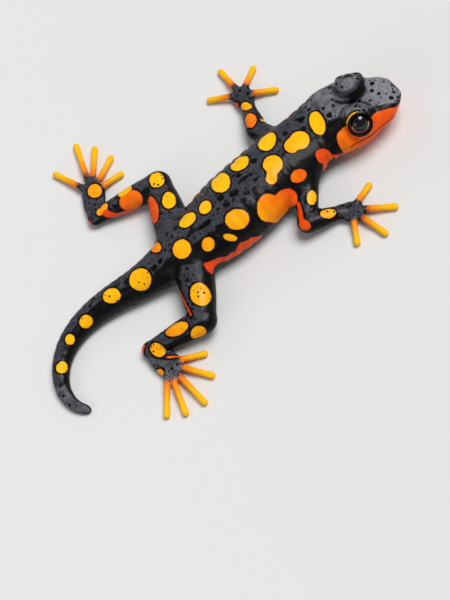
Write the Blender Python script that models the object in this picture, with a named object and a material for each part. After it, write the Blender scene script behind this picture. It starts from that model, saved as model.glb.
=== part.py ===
"""Fire salamander, life size, crawling on the floor with its head turned a little to its right
and its tail curled round to the right.

Everything is worked out in millimetres and turned into metres when a mesh is made. +Z is up,
+Y runs from the tail towards the head, +X is the animal's right, and the origin is the middle
of the footprint, on the floor. The body is modelled whole: one loft from snout to tail tip,
with limbs, toes and the bulges of the head fused on. It is then trimmed flat where it rests on
the floor and parted by thin cuts into the nodes that a person would name.
"""

import math

import bmesh
import bpy
import numpy as np
from mathutils import Matrix, Vector

MM = 0.001
CUT = 0.3  # width of the gap that parts two neighbouring nodes

# The plan line of the spine, from the snout to the tail tip, with the trunk along Y.
SPINE_PLAN = [
    (9.0, 66.6), (4.4, 54.2), (-0.1, 43.3), (-1.8, 32.0), (-1.3, 20.0), (0.3, 2.0), (0.8, -16.0),
    (0.1, -32.0), (-1.6, -44.0), (-3.6, -56.0), (-6.2, -67.0), (-7.4, -77.0), (-6.6, -86.0),
    (-3.4, -94.0), (2.2, -100.4), (9.6, -104.0), (17.4, -103.8), (23.6, -100.4),
]
# The trunk frame's place in the row frame, whose origin is the middle of the footprint.
FRAME_SHIFT = Vector((12.105, 20.085, 0.0))

# Body sections: distance from the snout, half width, height of the back, height of the belly.
# A belly height below zero is trimmed flat by the floor.
BODY_SECTIONS = [
    (0.0, 5.4, 13.4, 8.2),
    (5.0, 8.6, 15.2, 7.1),
    (11.0, 11.2, 16.3, 6.3),
    (17.0, 13.3, 16.8, 5.5),
    (23.0, 14.3, 16.8, 4.9),
    (28.0, 14.5, 16.4, 4.4),
    (32.5, 13.8, 16.2, 3.8),
    (37.0, 13.2, 16.6, 2.6),
    (42.0, 13.2, 17.4, 1.4),
    (48.0, 13.7, 18.7, 0.4),
    (57.0, 14.7, 20.2, -0.3),
    (70.0, 15.7, 20.8, -0.5),
    (83.0, 15.6, 20.0, -0.4),
    (94.0, 13.7, 18.0, -0.1),
    (102.0, 11.5, 16.4, 0.2),
    (110.0, 9.5, 14.9, 0.4),
    (118.0, 7.8, 13.4, 0.2),
    (130.0, 6.4, 11.5, -0.2),
    (145.0, 5.4, 9.5, -0.2),
    (160.0, 4.4, 7.6, -0.2),
    (175.0, 3.4, 5.7, -0.2),
    (187.0, 2.5, 4.1, -0.15),
    (196.0, 1.7, 2.8, 0.0),
]
SNOUT_ROUNDING = 7.0  # length over which the snout closes, as seen from above
TAIL_ROUNDING = 3.0
WIDEST_LEVEL = 0.44  # share of the height at which a section is widest

# The mouth: height of its line against distance from the snout, to the jaw's corner.
MOUTH_LINE = [(0.0, 9.8), (4.0, 10.2), (9.0, 10.8), (14.0, 11.2), (20.0, 11.2), (26.0, 10.6), (30.0, 9.8)]
MOUTH_END = 26.5
MOUTH_DEPTH = 0.9
LIP_GAP = 0.28  # half the width of the mouth's groove at the skin
LIP_SWELL = 0.25  # how far the upper lip stands over the lower

# Folds of the flank between the ribs, and the throat's fold.
RIB_GROOVES_FROM, RIB_GROOVES_TO, RIB_GROOVES = 50.0, 98.0, 11
RIB_GROOVE_DEPTH = 0.3
THROAT_FOLD_AT, THROAT_FOLD_WIDTH, THROAT_FOLD_DEPTH = 30.0, 1.4, 0.6

# Eyes, placed in the head's own frame: distance from the snout, sideways, height.
EYE_AT = (17.2, 8.2, 15.5)
EYE_RADIUS = 4.5
EYE_GAP = 0.3
EYE_TURN_FORWARD, EYE_TURN_UP = 10.0, 38.0  # degrees from straight out to the side
LID_THICKNESS = 0.95
LID_OPENING = (4.0, 3.85)  # half length and half height of the opening between the lids

NOSTRIL_AT = (1.5, 3.4, 12.4)
NOSTRIL_RADIUS = 0.5
PAROTOID_AT, PAROTOID_SIZE = (27.5, 8.8, 13.0), (6.2, 4.0, 3.6)
SWELLING_BLEND = 2.2  # width over which lids and glands run out into the head
EYE_DOME_RADIUS, EYE_DOME_IN, EYE_DOME_DOWN = 6.2, 1.2, 0.2  # the bulge that each eye sits in
HEAD_END = 33.0

# Limbs, in the trunk frame: name, joints in order, and half thickness along each stretch.
SHOULDER_RADII, FOREARM_RADII = (5.4, 4.8, 4.3, 3.9), (3.9, 3.9, 3.2, 2.6)
HIP_RADII, SHIN_RADII = (7.6, 7.3, 6.5, 5.0), (5.0, 4.9, 4.0, 3.0)
HAND_RADII, FOOT_RADII = (2.7, 4.0, 4.3), (3.0, 4.5, 5.0)
LIMB_FLATNESS, PALM_FLATNESS = 0.86, 0.48  # height against width
DIGIT_RADII = (1.85, 1.4, 1.25, 1.38)
DIGIT_ARCH = 1.1  # how far a toe's middle rises above its ends
LIMBS = {
    "front_left": {
        "names": ("upper_arm_left", "forearm_left", "hand_left"),
        "joints": [(-6.0, 21.5, 9.0), (-22.6, 17.4, 6.4), (-36.6, 21.2, 3.2), (-42.0, 22.4, 2.0)],
        "radii": (SHOULDER_RADII, FOREARM_RADII, HAND_RADII),
        "tips": [(-34.8, 33.8), (-49.6, 33.0), (-58.6, 22.6), (-51.4, 11.8)],
        "root_cut": 16.4,
        "end_cut": 5.0,
    },
    "front_right": {
        "names": ("upper_arm_right", "forearm_right", "hand_right"),
        "joints": [(6.0, 21.5, 9.0), (24.4, 8.2, 6.4), (28.4, 20.4, 3.2), (31.0, 23.8, 2.0)],
        "radii": (SHOULDER_RADII, FOREARM_RADII, HAND_RADII),
        "tips": [(26.2, 34.8), (40.6, 36.6), (46.6, 27.2), (42.0, 17.0)],
        "root_cut": 15.4,
        "end_cut": 5.0,
    },
    "hind_left": {
        "names": ("thigh_left", "shin_left", "foot_left"),
        "joints": [(-5.0, -34.0, 8.0), (-32.2, -25.6, 7.4), (-42.0, -52.6, 3.4), (-52.0, -47.6, 2.4)],
        "radii": (HIP_RADII, SHIN_RADII, FOOT_RADII),
        "tips": [(-51.6, -34.2), (-60.8, -33.2), (-69.4, -35.8), (-76.4, -40.8), (-72.2, -54.4)],
        "root_cut": 15.2,
        "end_cut": 8.2,
    },
    "hind_right": {
        "names": ("thigh_right", "shin_right", "foot_right"),
        "joints": [(5.0, -34.0, 8.0), (28.4, -45.8, 7.4), (20.8, -68.2, 3.4), (30.4, -66.4, 2.4)],
        "radii": (HIP_RADII, SHIN_RADII, FOOT_RADII),
        "tips": [(36.4, -53.4), (45.6, -56.4), (52.2, -64.8), (50.6, -72.8), (46.2, -78.8)],
        "root_cut": 14.8,
        "end_cut": 9.8,
    },
}

# Where thin cuts part the body's own length, as distances from the snout.
BODY_CUTS = (33.0, 41.0, 114.0, 140.0, 167.0)
BODY_NODES = ("head", "neck", "torso", "tail_base", "tail_middle", "tail_tip")

# Mesh density.
UPPER_POINTS, LOWER_POINTS = 21, 9  # on a body section, above and below the mouth line
LIMB_SIDES, DIGIT_SIDES, SOCKET_SIDES, EYE_SIDES = 12, 8, 18, 16

SKIN = ("salamander_skin", (0.045, 0.045, 0.052, 1.0), 0.32)
TOES = ("toe_skin", (0.86, 0.38, 0.03, 1.0), 0.35)
EYE = ("eye_dark", (0.008, 0.006, 0.006, 1.0), 0.06)


def smooth_table(knots, values, at):
    """Values at the given places on a smooth curve through the table's rows."""
    x, y, at = np.asarray(knots, float), np.asarray(values, float), np.asarray(at, float)
    slope = np.gradient(y, x)
    i = np.clip(np.searchsorted(x, at) - 1, 0, len(x) - 2)
    step = x[i + 1] - x[i]
    t = np.clip((at - x[i]) / step, 0.0, 1.0)
    rise = y[i + 1] - y[i]
    return (
        y[i] + t * t * (3 - 2 * t) * rise
        + t * (1 - t) ** 2 * step * slope[i]
        - t * t * (1 - t) * step * slope[i + 1]
    )


def spine_line(per_span=40):
    """Plan points of the spine on a smooth curve, and the distance of each from the snout."""
    plan = np.array(SPINE_PLAN)
    rough = np.concatenate([[0.0], np.cumsum(np.linalg.norm(np.diff(plan, axis=0), axis=1))])
    fine = np.linspace(0.0, rough[-1], per_span * (len(plan) - 1))
    line = np.stack([smooth_table(rough, plan[:, axis], fine) for axis in (0, 1)], axis=1)
    along = np.concatenate([[0.0], np.cumsum(np.linalg.norm(np.diff(line, axis=0), axis=1))])
    return line, along


SPINE, SPINE_AT = spine_line()
BODY_LENGTH = SPINE_AT[-1]


def spine_frame(s):
    """Point on the floor under the spine, its direction towards the head, and its right side."""
    place = [np.interp(s, SPINE_AT, SPINE[:, axis]) for axis in (0, 1)]
    ends = [[np.interp(s + d, SPINE_AT, SPINE[:, axis]) for axis in (0, 1)] for d in (-1, 1)]
    forward = Vector((ends[0][0] - ends[1][0], ends[0][1] - ends[1][1], 0.0)).normalized()
    return Vector((*place, 0.0)), forward, Vector((forward.y, -forward.x, 0.0))


def on_body(s, side, height):
    """A place given by distance from the snout, offset to the right and height."""
    place, _, right = spine_frame(s)
    return place + side * right + Vector((0, 0, height))


def head_axes(s):
    """Forward, right and up at a place on the head."""
    _, forward, right = spine_frame(s)
    return forward, right, Vector((0, 0, 1))


def eye_frame(side):
    """Centre of an eye, the direction it looks in, and its own forward and up axes."""
    s, offset, height = EYE_AT
    forward, right, up = head_axes(s)
    ahead, tilt = math.radians(EYE_TURN_FORWARD), math.radians(EYE_TURN_UP)
    look = right * side * math.cos(ahead) + forward * math.sin(ahead)
    look = look * math.cos(tilt) + up * math.sin(tilt)
    eye_up = (up - up.dot(look) * look).normalized()
    return on_body(s, side * offset, height), look, eye_up.cross(look), eye_up


def head_swellings():
    """Centre, half lengths and axes of the lids round each eye and the gland behind it."""
    made = []
    for side in (-1, 1):
        centre, look, eye_forward, eye_up = eye_frame(side)
        size = EYE_RADIUS + LID_THICKNESS
        made.append((centre, (size, size, size), (eye_forward, look, eye_up)))
        under = centre - look * EYE_DOME_IN - eye_up * EYE_DOME_DOWN
        made.append((under, (EYE_DOME_RADIUS,) * 3, (eye_forward, look, eye_up)))
        s, offset, height = PAROTOID_AT
        made.append((on_body(s, side * offset, height), PAROTOID_SIZE, head_axes(s)))
    return made


SWELLINGS = head_swellings()


def end_rounding(s):
    """How much of its full size a section has near the snout and the tail tip."""
    nose = max(0.0, 1 - s / SNOUT_ROUNDING)
    tail = max(0.0, 1 - (BODY_LENGTH - s) / TAIL_ROUNDING)
    return math.sqrt(max(0.0, 1 - nose**2)) * math.sqrt(max(0.0, 1 - tail**2))


def body_size(s):
    """Half width, level of the widest line, and the heights above and below it."""
    knots = [row[0] for row in BODY_SECTIONS]
    half, back, belly = (
        float(smooth_table(knots, [row[k] for row in BODY_SECTIONS], s)) for k in (1, 2, 3)
    )
    level = belly + WIDEST_LEVEL * (back - belly)
    size = end_rounding(s)
    return half * size, level, (back - level) * size, (level - belly) * size


def ripple(s, first, last, count):
    """0 on a ridge and 1 in a groove, for evenly spaced grooves between two places."""
    if not first < s < last:
        return 0.0
    phase = (s - first) / (last - first) * count
    return 0.5 - 0.5 * math.cos(2 * math.pi * phase)


def skin_inset(s, angle):
    """Depth of the rib grooves and the throat fold at a place on the body."""
    flank = max(0.0, math.cos(angle)) ** 0.6 if math.cos(angle) > 0 else 0.0
    flank = max(flank, max(0.0, -math.cos(angle)) ** 0.6)
    under = max(0.0, -math.sin(angle))
    inset = RIB_GROOVE_DEPTH * flank * ripple(s, RIB_GROOVES_FROM, RIB_GROOVES_TO, RIB_GROOVES)
    fold = math.exp(-(((s - THROAT_FOLD_AT) / THROAT_FOLD_WIDTH) ** 2))
    return inset + THROAT_FOLD_DEPTH * under * fold


def smooth_min(a, b, width):
    """The smaller of two depths, with the corner between them rounded off."""
    near = max(width - abs(a - b), 0.0) / width
    return min(a, b) - near * near * width / 4


def swollen_reach(middle, way, reach):
    """How far the skin is from the section's middle once lids and glands are added."""
    low, high = reach * 0.8, reach + 2 * EYE_RADIUS
    for _ in range(20):
        trial = (low + high) / 2
        depth = trial - reach
        for centre, sizes, axes in SWELLINGS:
            offset = middle + way * trial - centre
            scaled = Vector([offset.dot(axis) / size for axis, size in zip(axes, sizes)])
            depth = smooth_min(depth, (scaled.length - 1) * min(sizes), SWELLING_BLEND)
        low, high = (trial, high) if depth < 0 else (low, trial)
    return low


def section_point(s, angle, push=0.0):
    """A point of the section at s: angle 0 is the right side and 90 degrees the back."""
    half, level, up, down = body_size(s)
    roundness = 2 / float(smooth_table([0, 20, 45, 110, 200], [2.5, 2.6, 2.3, 2.1, 2.0], s))
    c, z = math.cos(angle), math.sin(angle)
    side = math.copysign(abs(c) ** roundness, c) * half
    rise = math.copysign(abs(z) ** roundness, z) * (up if z > 0 else down)
    middle = on_body(s, 0.0, level)
    way = on_body(s, side, level + rise) - middle
    reach = way.length
    way.normalize()
    if s < HEAD_END and z > -0.3:
        reach = swollen_reach(middle, way, reach)
    return middle + way * max(reach + push - skin_inset(s, angle), 0.0)


def mouth_angle(s):
    """Angle of the mouth line on the section at s, below the horizontal."""
    _, level, _, down = body_size(s)
    height = float(smooth_table([m[0] for m in MOUTH_LINE], [m[1] for m in MOUTH_LINE], s))
    share = min(0.85, max(0.12, (level - height) / max(down, 0.4)))
    return -math.asin(share ** 1.25)


def body_ring(s):
    """One closed section of the body, with a row of points along each side for the mouth."""
    half = max(body_size(s)[0], 0.6)
    angle = mouth_angle(min(s, MOUTH_LINE[-1][0]))
    gap = min(0.3, LIP_GAP / half)
    fade = min(1.0, max(0.0, (MOUTH_END - s) / 2.0))
    depth = MOUTH_DEPTH * fade * min(1.0, half / 3)
    ring = []
    upper = np.linspace(angle + gap, math.pi - angle - gap, UPPER_POINTS)
    lower = np.linspace(math.pi - angle + gap, 2 * math.pi + angle - gap, LOWER_POINTS)
    for k, a in enumerate(upper):
        lip = LIP_SWELL * fade if k in (0, UPPER_POINTS - 1) else 0.0
        ring.append(section_point(s, a, lip))
    ring.append(section_point(s, math.pi - angle, -depth))
    ring += [section_point(s, a) for a in lower]
    ring.append(section_point(s, angle, -depth))
    return ring


def body_stations():
    """Places of the body's sections, close together on the head and at the rib grooves."""
    nose = [SNOUT_ROUNDING * (1 - math.cos(a)) for a in np.linspace(0.12, math.pi / 2, 8)]
    eyes = np.arange(SNOUT_ROUNDING + 1.2, EYE_AT[0] + 6.5, 1.05)
    gland = np.arange(EYE_AT[0] + 7.5, 31.0, 1.5)
    neck = np.arange(32.6, RIB_GROOVES_FROM - 1.0, 2.6)
    ribs = np.linspace(RIB_GROOVES_FROM, RIB_GROOVES_TO, 2 * RIB_GROOVES + 1)
    tail = np.arange(RIB_GROOVES_TO + 3.0, BODY_LENGTH - TAIL_ROUNDING - 1.0, 3.8)
    end = [BODY_LENGTH - TAIL_ROUNDING * (1 - math.cos(a)) for a in np.linspace(1.5, 0.25, 4)]
    return [float(s) for s in (*nose, *eyes, *gland, *neck, *ribs, *tail, *end)]


def mesh_object(name, bm):
    """A new object from a bmesh in the trunk frame and millimetres."""
    bm.normal_update()
    bmesh.ops.recalc_face_normals(bm, faces=bm.faces)
    bm.transform(Matrix.Scale(MM, 4) @ Matrix.Translation(FRAME_SHIFT))
    mesh = bpy.data.meshes.new(name)
    bm.to_mesh(mesh)
    bm.free()
    obj = bpy.data.objects.new(name, mesh)
    bpy.context.scene.collection.objects.link(obj)
    return obj


def loft(name, rings):
    """A closed solid through rings of the same number of points, with flat ends."""
    bm = bmesh.new()
    loops = [[bm.verts.new(p) for p in ring] for ring in rings]
    count = len(rings[0])
    for near, far in zip(loops, loops[1:]):
        for k in range(count):
            n = (k + 1) % count
            bm.faces.new((near[k], near[n], far[n], far[k]))
    bm.faces.new(loops[0])
    bm.faces.new(reversed(loops[-1]))
    return mesh_object(name, bm)


def rod(name, points, radii, sides, flatness=1.0):
    """A tapered round rod along a smooth line, with rounded ends, for limbs and toes."""
    points = np.array(points, float)
    rough = np.concatenate([[0.0], np.cumsum(np.linalg.norm(np.diff(points, axis=0), axis=1))])
    length = rough[-1]
    first, last = radii[0], radii[-1]
    stops = [-first * math.cos(a) for a in np.linspace(0.5, math.pi / 2, 3)]
    stops += list(np.linspace(0.0, length, max(4, int(length / 3.2)))[1:-1])
    stops += [length + last * math.sin(a) for a in np.linspace(0.0, math.pi / 2 - 0.3, 4)]
    rings = []
    for s in stops:
        inside = min(max(s, 0.0), length)
        middle = Vector([float(smooth_table(rough, points[:, a], inside)) for a in range(3)])
        ends = [
            Vector([float(smooth_table(rough, points[:, a], e)) for a in range(3)])
            for e in (max(0.0, inside - 0.4), min(length, inside + 0.4))
        ]
        ahead = (ends[1] - ends[0]).normalized()
        side = ahead.cross(Vector((0, 0, 1))).normalized()
        up = side.cross(ahead)
        knots = np.linspace(0.0, length, len(radii))
        radius = float(smooth_table(knots, radii, inside))
        beyond = s - inside
        radius = math.sqrt(max(radius**2 - beyond**2, 0.0))
        middle += ahead * beyond
        turn = [2 * math.pi * k / sides for k in range(sides)]
        rings.append(
            [
                middle + radius * (math.cos(a) * side + math.sin(a) * flatness * up)
                for a in turn
            ]
        )
    return loft(name, rings)


def ellipsoid(name, centre, sizes, axes, sides):
    """A closed ellipsoid with half lengths sizes along the three given axes."""
    bm = bmesh.new()
    bmesh.ops.create_uvsphere(bm, u_segments=sides, v_segments=sides * 2 // 3, radius=1.0)
    turn = Matrix([axis for axis in axes]).transposed().to_4x4()
    scale = Matrix.Diagonal((*sizes, 1.0))
    bm.transform(Matrix.Translation(centre) @ turn @ scale)
    return mesh_object(name, bm)


def slab(name, centre, normal, half_width, half_height):
    """A thin upright box that parts two nodes, centred on a cut and square to its normal."""
    normal = Vector((normal[0], normal[1], 0.0)).normalized()
    across = Vector((normal.y, -normal.x, 0.0))
    bm = bmesh.new()
    bmesh.ops.create_cube(bm, size=2.0)
    turn = Matrix((normal, across, Vector((0, 0, 1)))).transposed().to_4x4()
    scale = Matrix.Diagonal((CUT / 2, half_width, half_height, 1.0))
    bm.transform(Matrix.Translation(centre) @ turn @ scale)
    return mesh_object(name, bm)


def make_body():
    """The loft of head, trunk and tail."""
    return loft("body", [body_ring(s) for s in body_stations()])


def make_head_cutters():
    """The sockets, the openings between the lids, and the nostrils."""
    made = []
    for side in (-1, 1):
        centre, look, eye_forward, eye_up = eye_frame(side)
        axes = (eye_forward, look, eye_up)
        socket = EYE_RADIUS + EYE_GAP
        made.append(ellipsoid(f"socket_{side}", centre, (socket,) * 3, axes, SOCKET_SIDES))
        opening = (LID_OPENING[0], socket, LID_OPENING[1])
        out = centre + look * socket * 0.9
        made.append(ellipsoid(f"opening_{side}", out, opening, axes, SOCKET_SIDES))
        s, offset, height = NOSTRIL_AT
        place = on_body(s, side * offset, height)
        made.append(ellipsoid(f"nostril_{side}", place, (NOSTRIL_RADIUS,) * 3, head_axes(s), 8))
    return made


def digit_line(palm, tip):
    """Line of one toe from inside the palm, over a low arch, to its tip on the floor."""
    start, end = Vector(palm), Vector((*tip, DIGIT_RADII[-1] * 0.92))
    start.z = DIGIT_RADII[0] * 1.1
    steps = (0.0, 0.38, 0.7, 1.0)
    lift = (0.0, DIGIT_ARCH, DIGIT_ARCH * 0.5, 0.0)
    return [start.lerp(end, t) + Vector((0, 0, h)) for t, h in zip(steps, lift)]


def make_limb(limb):
    """Upper and lower limb, palm and toes of one limb, as separate closed rods."""
    joints, names = limb["joints"], limb["names"]
    made = []
    for k, name in enumerate(names):
        flat = PALM_FLATNESS if k == 2 else LIMB_FLATNESS
        line = (joints[k], joints[k + 1])
        made.append(rod(name + "_rod", line, limb["radii"][k], LIMB_SIDES, flat))
    for k, tip in enumerate(limb["tips"]):
        line = digit_line(joints[3], tip)
        made.append(rod(f"{names[2]}_toe_{k}", line, DIGIT_RADII, DIGIT_SIDES))
    return made


def limb_cuts(limb):
    """Thin cuts at the root, the middle joint and the wrist or ankle of one limb."""
    root, middle, end, palm = (Vector(j) for j in limb["joints"])
    share = (limb["root_cut"] - abs(root.x)) / (abs(middle.x) - abs(root.x))
    at_root = root.lerp(middle, share)
    upper, lower, last = middle - root, end - middle, palm - end
    bend = upper.normalized() + lower.normalized()
    end_bend = lower.normalized() + last.normalized()
    return [
        slab("cut_root", at_root, (1.0, 0.0), limb["radii"][0][0] * 1.3, 12.0),
        slab("cut_middle", middle, bend, limb["radii"][1][0] * 2.1, 9.0),
        slab("cut_end", end, end_bend, limb["end_cut"], 6.0),
    ]


def make_node_cuts():
    """All the thin cuts that part the body into its nodes."""
    cuts = [cut for limb in LIMBS.values() for cut in limb_cuts(limb)]
    for s in BODY_CUTS:
        place, forward, _ = spine_frame(s)
        half, level, _, _ = body_size(s)
        cuts.append(slab("cut_body", place + Vector((0, 0, level)), forward, half + 1.5, 14.0))
    return cuts


def make_floor():
    """The space under the floor, which trims soles, belly and tail flat."""
    bm = bmesh.new()
    bmesh.ops.create_cube(bm, size=2.0)
    depth = 10.0
    scale = Matrix.Diagonal((150.0, 150.0, depth, 1.0))
    bm.transform(Matrix.Translation((0, -20.0, -depth)) @ scale)
    return mesh_object("floor", bm)


def combine(target, others, operation):
    """Fuses other closed solids onto the target, or cuts them from it, and removes them."""
    group = bpy.data.collections.new("tools")
    bpy.context.scene.collection.children.link(group)
    for other in others:
        bpy.context.scene.collection.objects.unlink(other)
        group.objects.link(other)
    modifier = target.modifiers.new(operation, "BOOLEAN")
    modifier.operation = operation
    modifier.operand_type = "COLLECTION"
    modifier.collection = group
    modifier.solver = "EXACT"
    modifier.use_self = False
    bpy.context.view_layer.update()
    graph = bpy.context.evaluated_depsgraph_get()
    result = bpy.data.meshes.new_from_object(target.evaluated_get(graph))
    target.modifiers.clear()
    target.data = result
    for other in others:
        bpy.data.objects.remove(other)
    bpy.data.collections.remove(group)
    return target


def loose_parts(obj):
    """The separate closed surfaces of an object, as lists of faces of one bmesh."""
    bm = bmesh.new()
    bm.from_mesh(obj.data)
    left, parts = set(bm.faces), []
    while left:
        part, edge = set(), [left.pop()]
        while edge:
            face = edge.pop()
            part.add(face)
            for e in face.edges:
                for other in e.link_faces:
                    if other in left:
                        left.remove(other)
                        edge.append(other)
        parts.append(list(part))
    return bm, parts


def anchors():
    """A place inside each node, by which the pieces left by the cuts get their names."""
    ends = (0.0, *BODY_CUTS, BODY_LENGTH)
    found = {}
    for name, near, far in zip(BODY_NODES, ends, ends[1:]):
        middle = (near + far) / 2
        found[name] = on_body(middle, 0.0, body_size(middle)[1])
    for limb in LIMBS.values():
        joints = [Vector(j) for j in limb["joints"]]
        starts = (joints[0].lerp(joints[1], 0.4), joints[1], joints[2])
        for name, near, far in zip(limb["names"], starts, joints[1:]):
            found[name] = (near + far) / 2
    return {name: (place + FRAME_SHIFT) * MM for name, place in found.items()}


def part_volume(faces):
    """Volume of a closed surface, by summing the wedges under its faces."""
    total = 0.0
    for face in faces:
        first, *rest = [v.co for v in face.verts]
        total += sum(first.dot(b.cross(c)) for b, c in zip(rest, rest[1:])) / 6
    return abs(total)


def name_parts(obj):
    """Gives each large loose piece of the cut body its own named object."""
    bm, parts = loose_parts(obj)
    places = anchors()
    best = {}
    for faces in parts:
        corners = {v for face in faces for v in face.verts}
        middle = sum((v.co for v in corners), Vector()) / len(corners)
        name = min(places, key=lambda n: (places[n] - middle).length)
        volume = part_volume(faces)
        if volume > best.get(name, (0.0, None))[0]:
            best[name] = (volume, faces)
    made = []
    for name, (_, faces) in best.items():
        made.append(copy_faces(name, faces))
    bm.free()
    bpy.data.objects.remove(obj)
    return made


def copy_faces(name, faces):
    """A new object that holds copies of the given faces."""
    bm = bmesh.new()
    copied = {}
    for face in faces:
        for v in face.verts:
            if v not in copied:
                copied[v] = bm.verts.new(v.co)
        bm.faces.new([copied[v] for v in face.verts])
    bm.normal_update()
    bmesh.ops.recalc_face_normals(bm, faces=bm.faces)
    mesh = bpy.data.meshes.new(name)
    bm.to_mesh(mesh)
    bm.free()
    obj = bpy.data.objects.new(name, mesh)
    bpy.context.scene.collection.objects.link(obj)
    return obj


def material(look):
    """The material of one kind of piece, made once."""
    name, colour, roughness = look
    made = bpy.data.materials.get(name) or bpy.data.materials.new(name)
    made.use_nodes = True
    shader = made.node_tree.nodes["Principled BSDF"]
    shader.inputs["Base Color"].default_value = colour
    shader.inputs["Roughness"].default_value = roughness
    shader.inputs["Metallic"].default_value = 0.0
    return made


def make_eyes():
    """The two eyeballs, each its own node, clear of its socket."""
    made = []
    for side, name in ((-1, "eye_left"), (1, "eye_right")):
        centre, look, eye_forward, eye_up = eye_frame(side)
        axes = (eye_forward, eye_up.cross(eye_forward), eye_up)
        made.append(ellipsoid(name, centre, (EYE_RADIUS,) * 3, axes, EYE_SIDES))
        made[-1].data.shade_smooth()
    return made


def main():
    for obj in list(bpy.data.objects):
        bpy.data.objects.remove(obj)
    body = make_body()
    limbs = [piece for limb in LIMBS.values() for piece in make_limb(limb)]
    combine(body, limbs, "UNION")
    combine(body, make_head_cutters() + make_node_cuts() + [make_floor()], "DIFFERENCE")
    for obj in name_parts(body):
        toes = obj.name.startswith(("hand", "foot"))
        obj.data.materials.clear()
        obj.data.materials.append(material(TOES if toes else SKIN))
        obj.data.shade_smooth()
        obj.data.set_sharp_from_angle(angle=math.radians(50))
    for obj in make_eyes():
        obj.data.materials.append(material(EYE))


main()
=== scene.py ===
"""Looks of the life-size fire salamander: one wet, spotted skin over all its flesh, and its eyes.

The skin is worked out as a field: the depth of any point under the skin, from the same named
sizes as the solids, with the folds, lids and lips added. A mesh is laid on that field,
finest on the head, and carries the markings as distances in millimetres, which the materials
turn into colour. Sizes are in millimetres in the trunk's own frame: +Y towards the head, +X the
animal's right, +Z up, with the floor at 0.
"""

import math

import bmesh
import bpy
import numpy as np
from mathutils import Matrix, Vector


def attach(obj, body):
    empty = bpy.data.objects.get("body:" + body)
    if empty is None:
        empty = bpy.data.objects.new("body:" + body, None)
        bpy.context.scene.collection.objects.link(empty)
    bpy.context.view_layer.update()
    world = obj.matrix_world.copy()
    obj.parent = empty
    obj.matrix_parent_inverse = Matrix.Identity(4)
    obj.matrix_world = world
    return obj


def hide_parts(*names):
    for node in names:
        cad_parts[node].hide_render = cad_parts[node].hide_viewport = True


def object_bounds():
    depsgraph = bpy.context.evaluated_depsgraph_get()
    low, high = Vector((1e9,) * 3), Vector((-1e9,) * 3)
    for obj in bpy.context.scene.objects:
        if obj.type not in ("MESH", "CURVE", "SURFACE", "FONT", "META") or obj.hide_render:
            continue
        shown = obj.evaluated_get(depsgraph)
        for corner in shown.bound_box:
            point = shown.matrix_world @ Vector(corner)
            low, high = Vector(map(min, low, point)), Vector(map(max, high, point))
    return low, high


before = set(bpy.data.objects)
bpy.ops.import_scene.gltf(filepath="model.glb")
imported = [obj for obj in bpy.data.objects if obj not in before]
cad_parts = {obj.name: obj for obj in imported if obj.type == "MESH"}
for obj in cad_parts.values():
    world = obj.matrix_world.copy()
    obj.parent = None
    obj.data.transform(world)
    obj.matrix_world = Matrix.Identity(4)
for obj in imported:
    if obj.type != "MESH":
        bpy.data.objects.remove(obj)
CAD_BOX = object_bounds()

MM = 0.001
# The trunk frame's place in the row frame.
FRAME_SHIFT = np.array((12.105, 20.085, 0))

# The plan line of the spine, from the snout to the tail tip.
SPINE_PLAN = [
    (9, 66.6), (4.4, 54.2), (-0.1, 43.3), (-1.8, 32), (-1.3, 20), (0.3, 2), (0.8, -16),
    (0.1, -32), (-1.6, -44), (-3.6, -56), (-6.2, -67), (-7.4, -77), (-6.6, -86),
    (-3.4, -94), (2.2, -100.4), (9.6, -104), (17.4, -103.8), (23.6, -100.4),
]

# Body sections: distance from the snout, half width, height of the back, height of the belly.
BODY_SECTIONS = [
    (0, 5.4, 13.4, 8.2), (5, 8.6, 15.2, 7.1), (11, 11.2, 16.3, 6.3),
    (17, 13.3, 16.8, 5.5), (23, 14.3, 16.8, 4.9), (28, 14.5, 16.4, 4.4),
    (32.5, 13.8, 16.2, 3.8), (37, 13.2, 16.6, 2.6), (42, 13.2, 17.4, 1.4),
    (48, 13.7, 18.7, 0.4), (57, 14.7, 20.2, -0.3), (70, 15.7, 20.8, -0.5),
    (83, 15.6, 20, -0.4), (94, 13.7, 18, -0.1), (102, 11.5, 16.4, 0.2),
    (110, 9.5, 14.9, 0.4), (118, 7.8, 13.4, 0.2), (130, 6.4, 11.5, -0.2),
    (145, 5.4, 9.5, -0.2), (160, 4.4, 7.6, -0.2), (175, 3.4, 5.7, -0.2),
    (187, 2.5, 4.1, -0.15), (196, 1.7, 2.8, 0),
]
SECTION_POWER = [(0, 2.5), (20, 2.6), (45, 2.3), (110, 2.1), (200, 2)]
SNOUT_ROUNDING = 7
TAIL_ROUNDING = 3
WIDEST_LEVEL = 0.44  # share of the height at which a section is widest

# The mouth: height of its line against distance from the snout, to the jaw's corner.
MOUTH_LINE = [
    (0, 9.8), (4, 10.2), (9, 10.8), (14, 11.2), (20, 11.2), (26, 10.6), (30, 9.8),
]
MOUTH_END = 26.5
MOUTH_DEPTH, MOUTH_WIDTH = 0.6, 0.26
LIP_SWELL, LIP_ABOVE, LIP_WIDTH = 0.22, 0.95, 0.75

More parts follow.
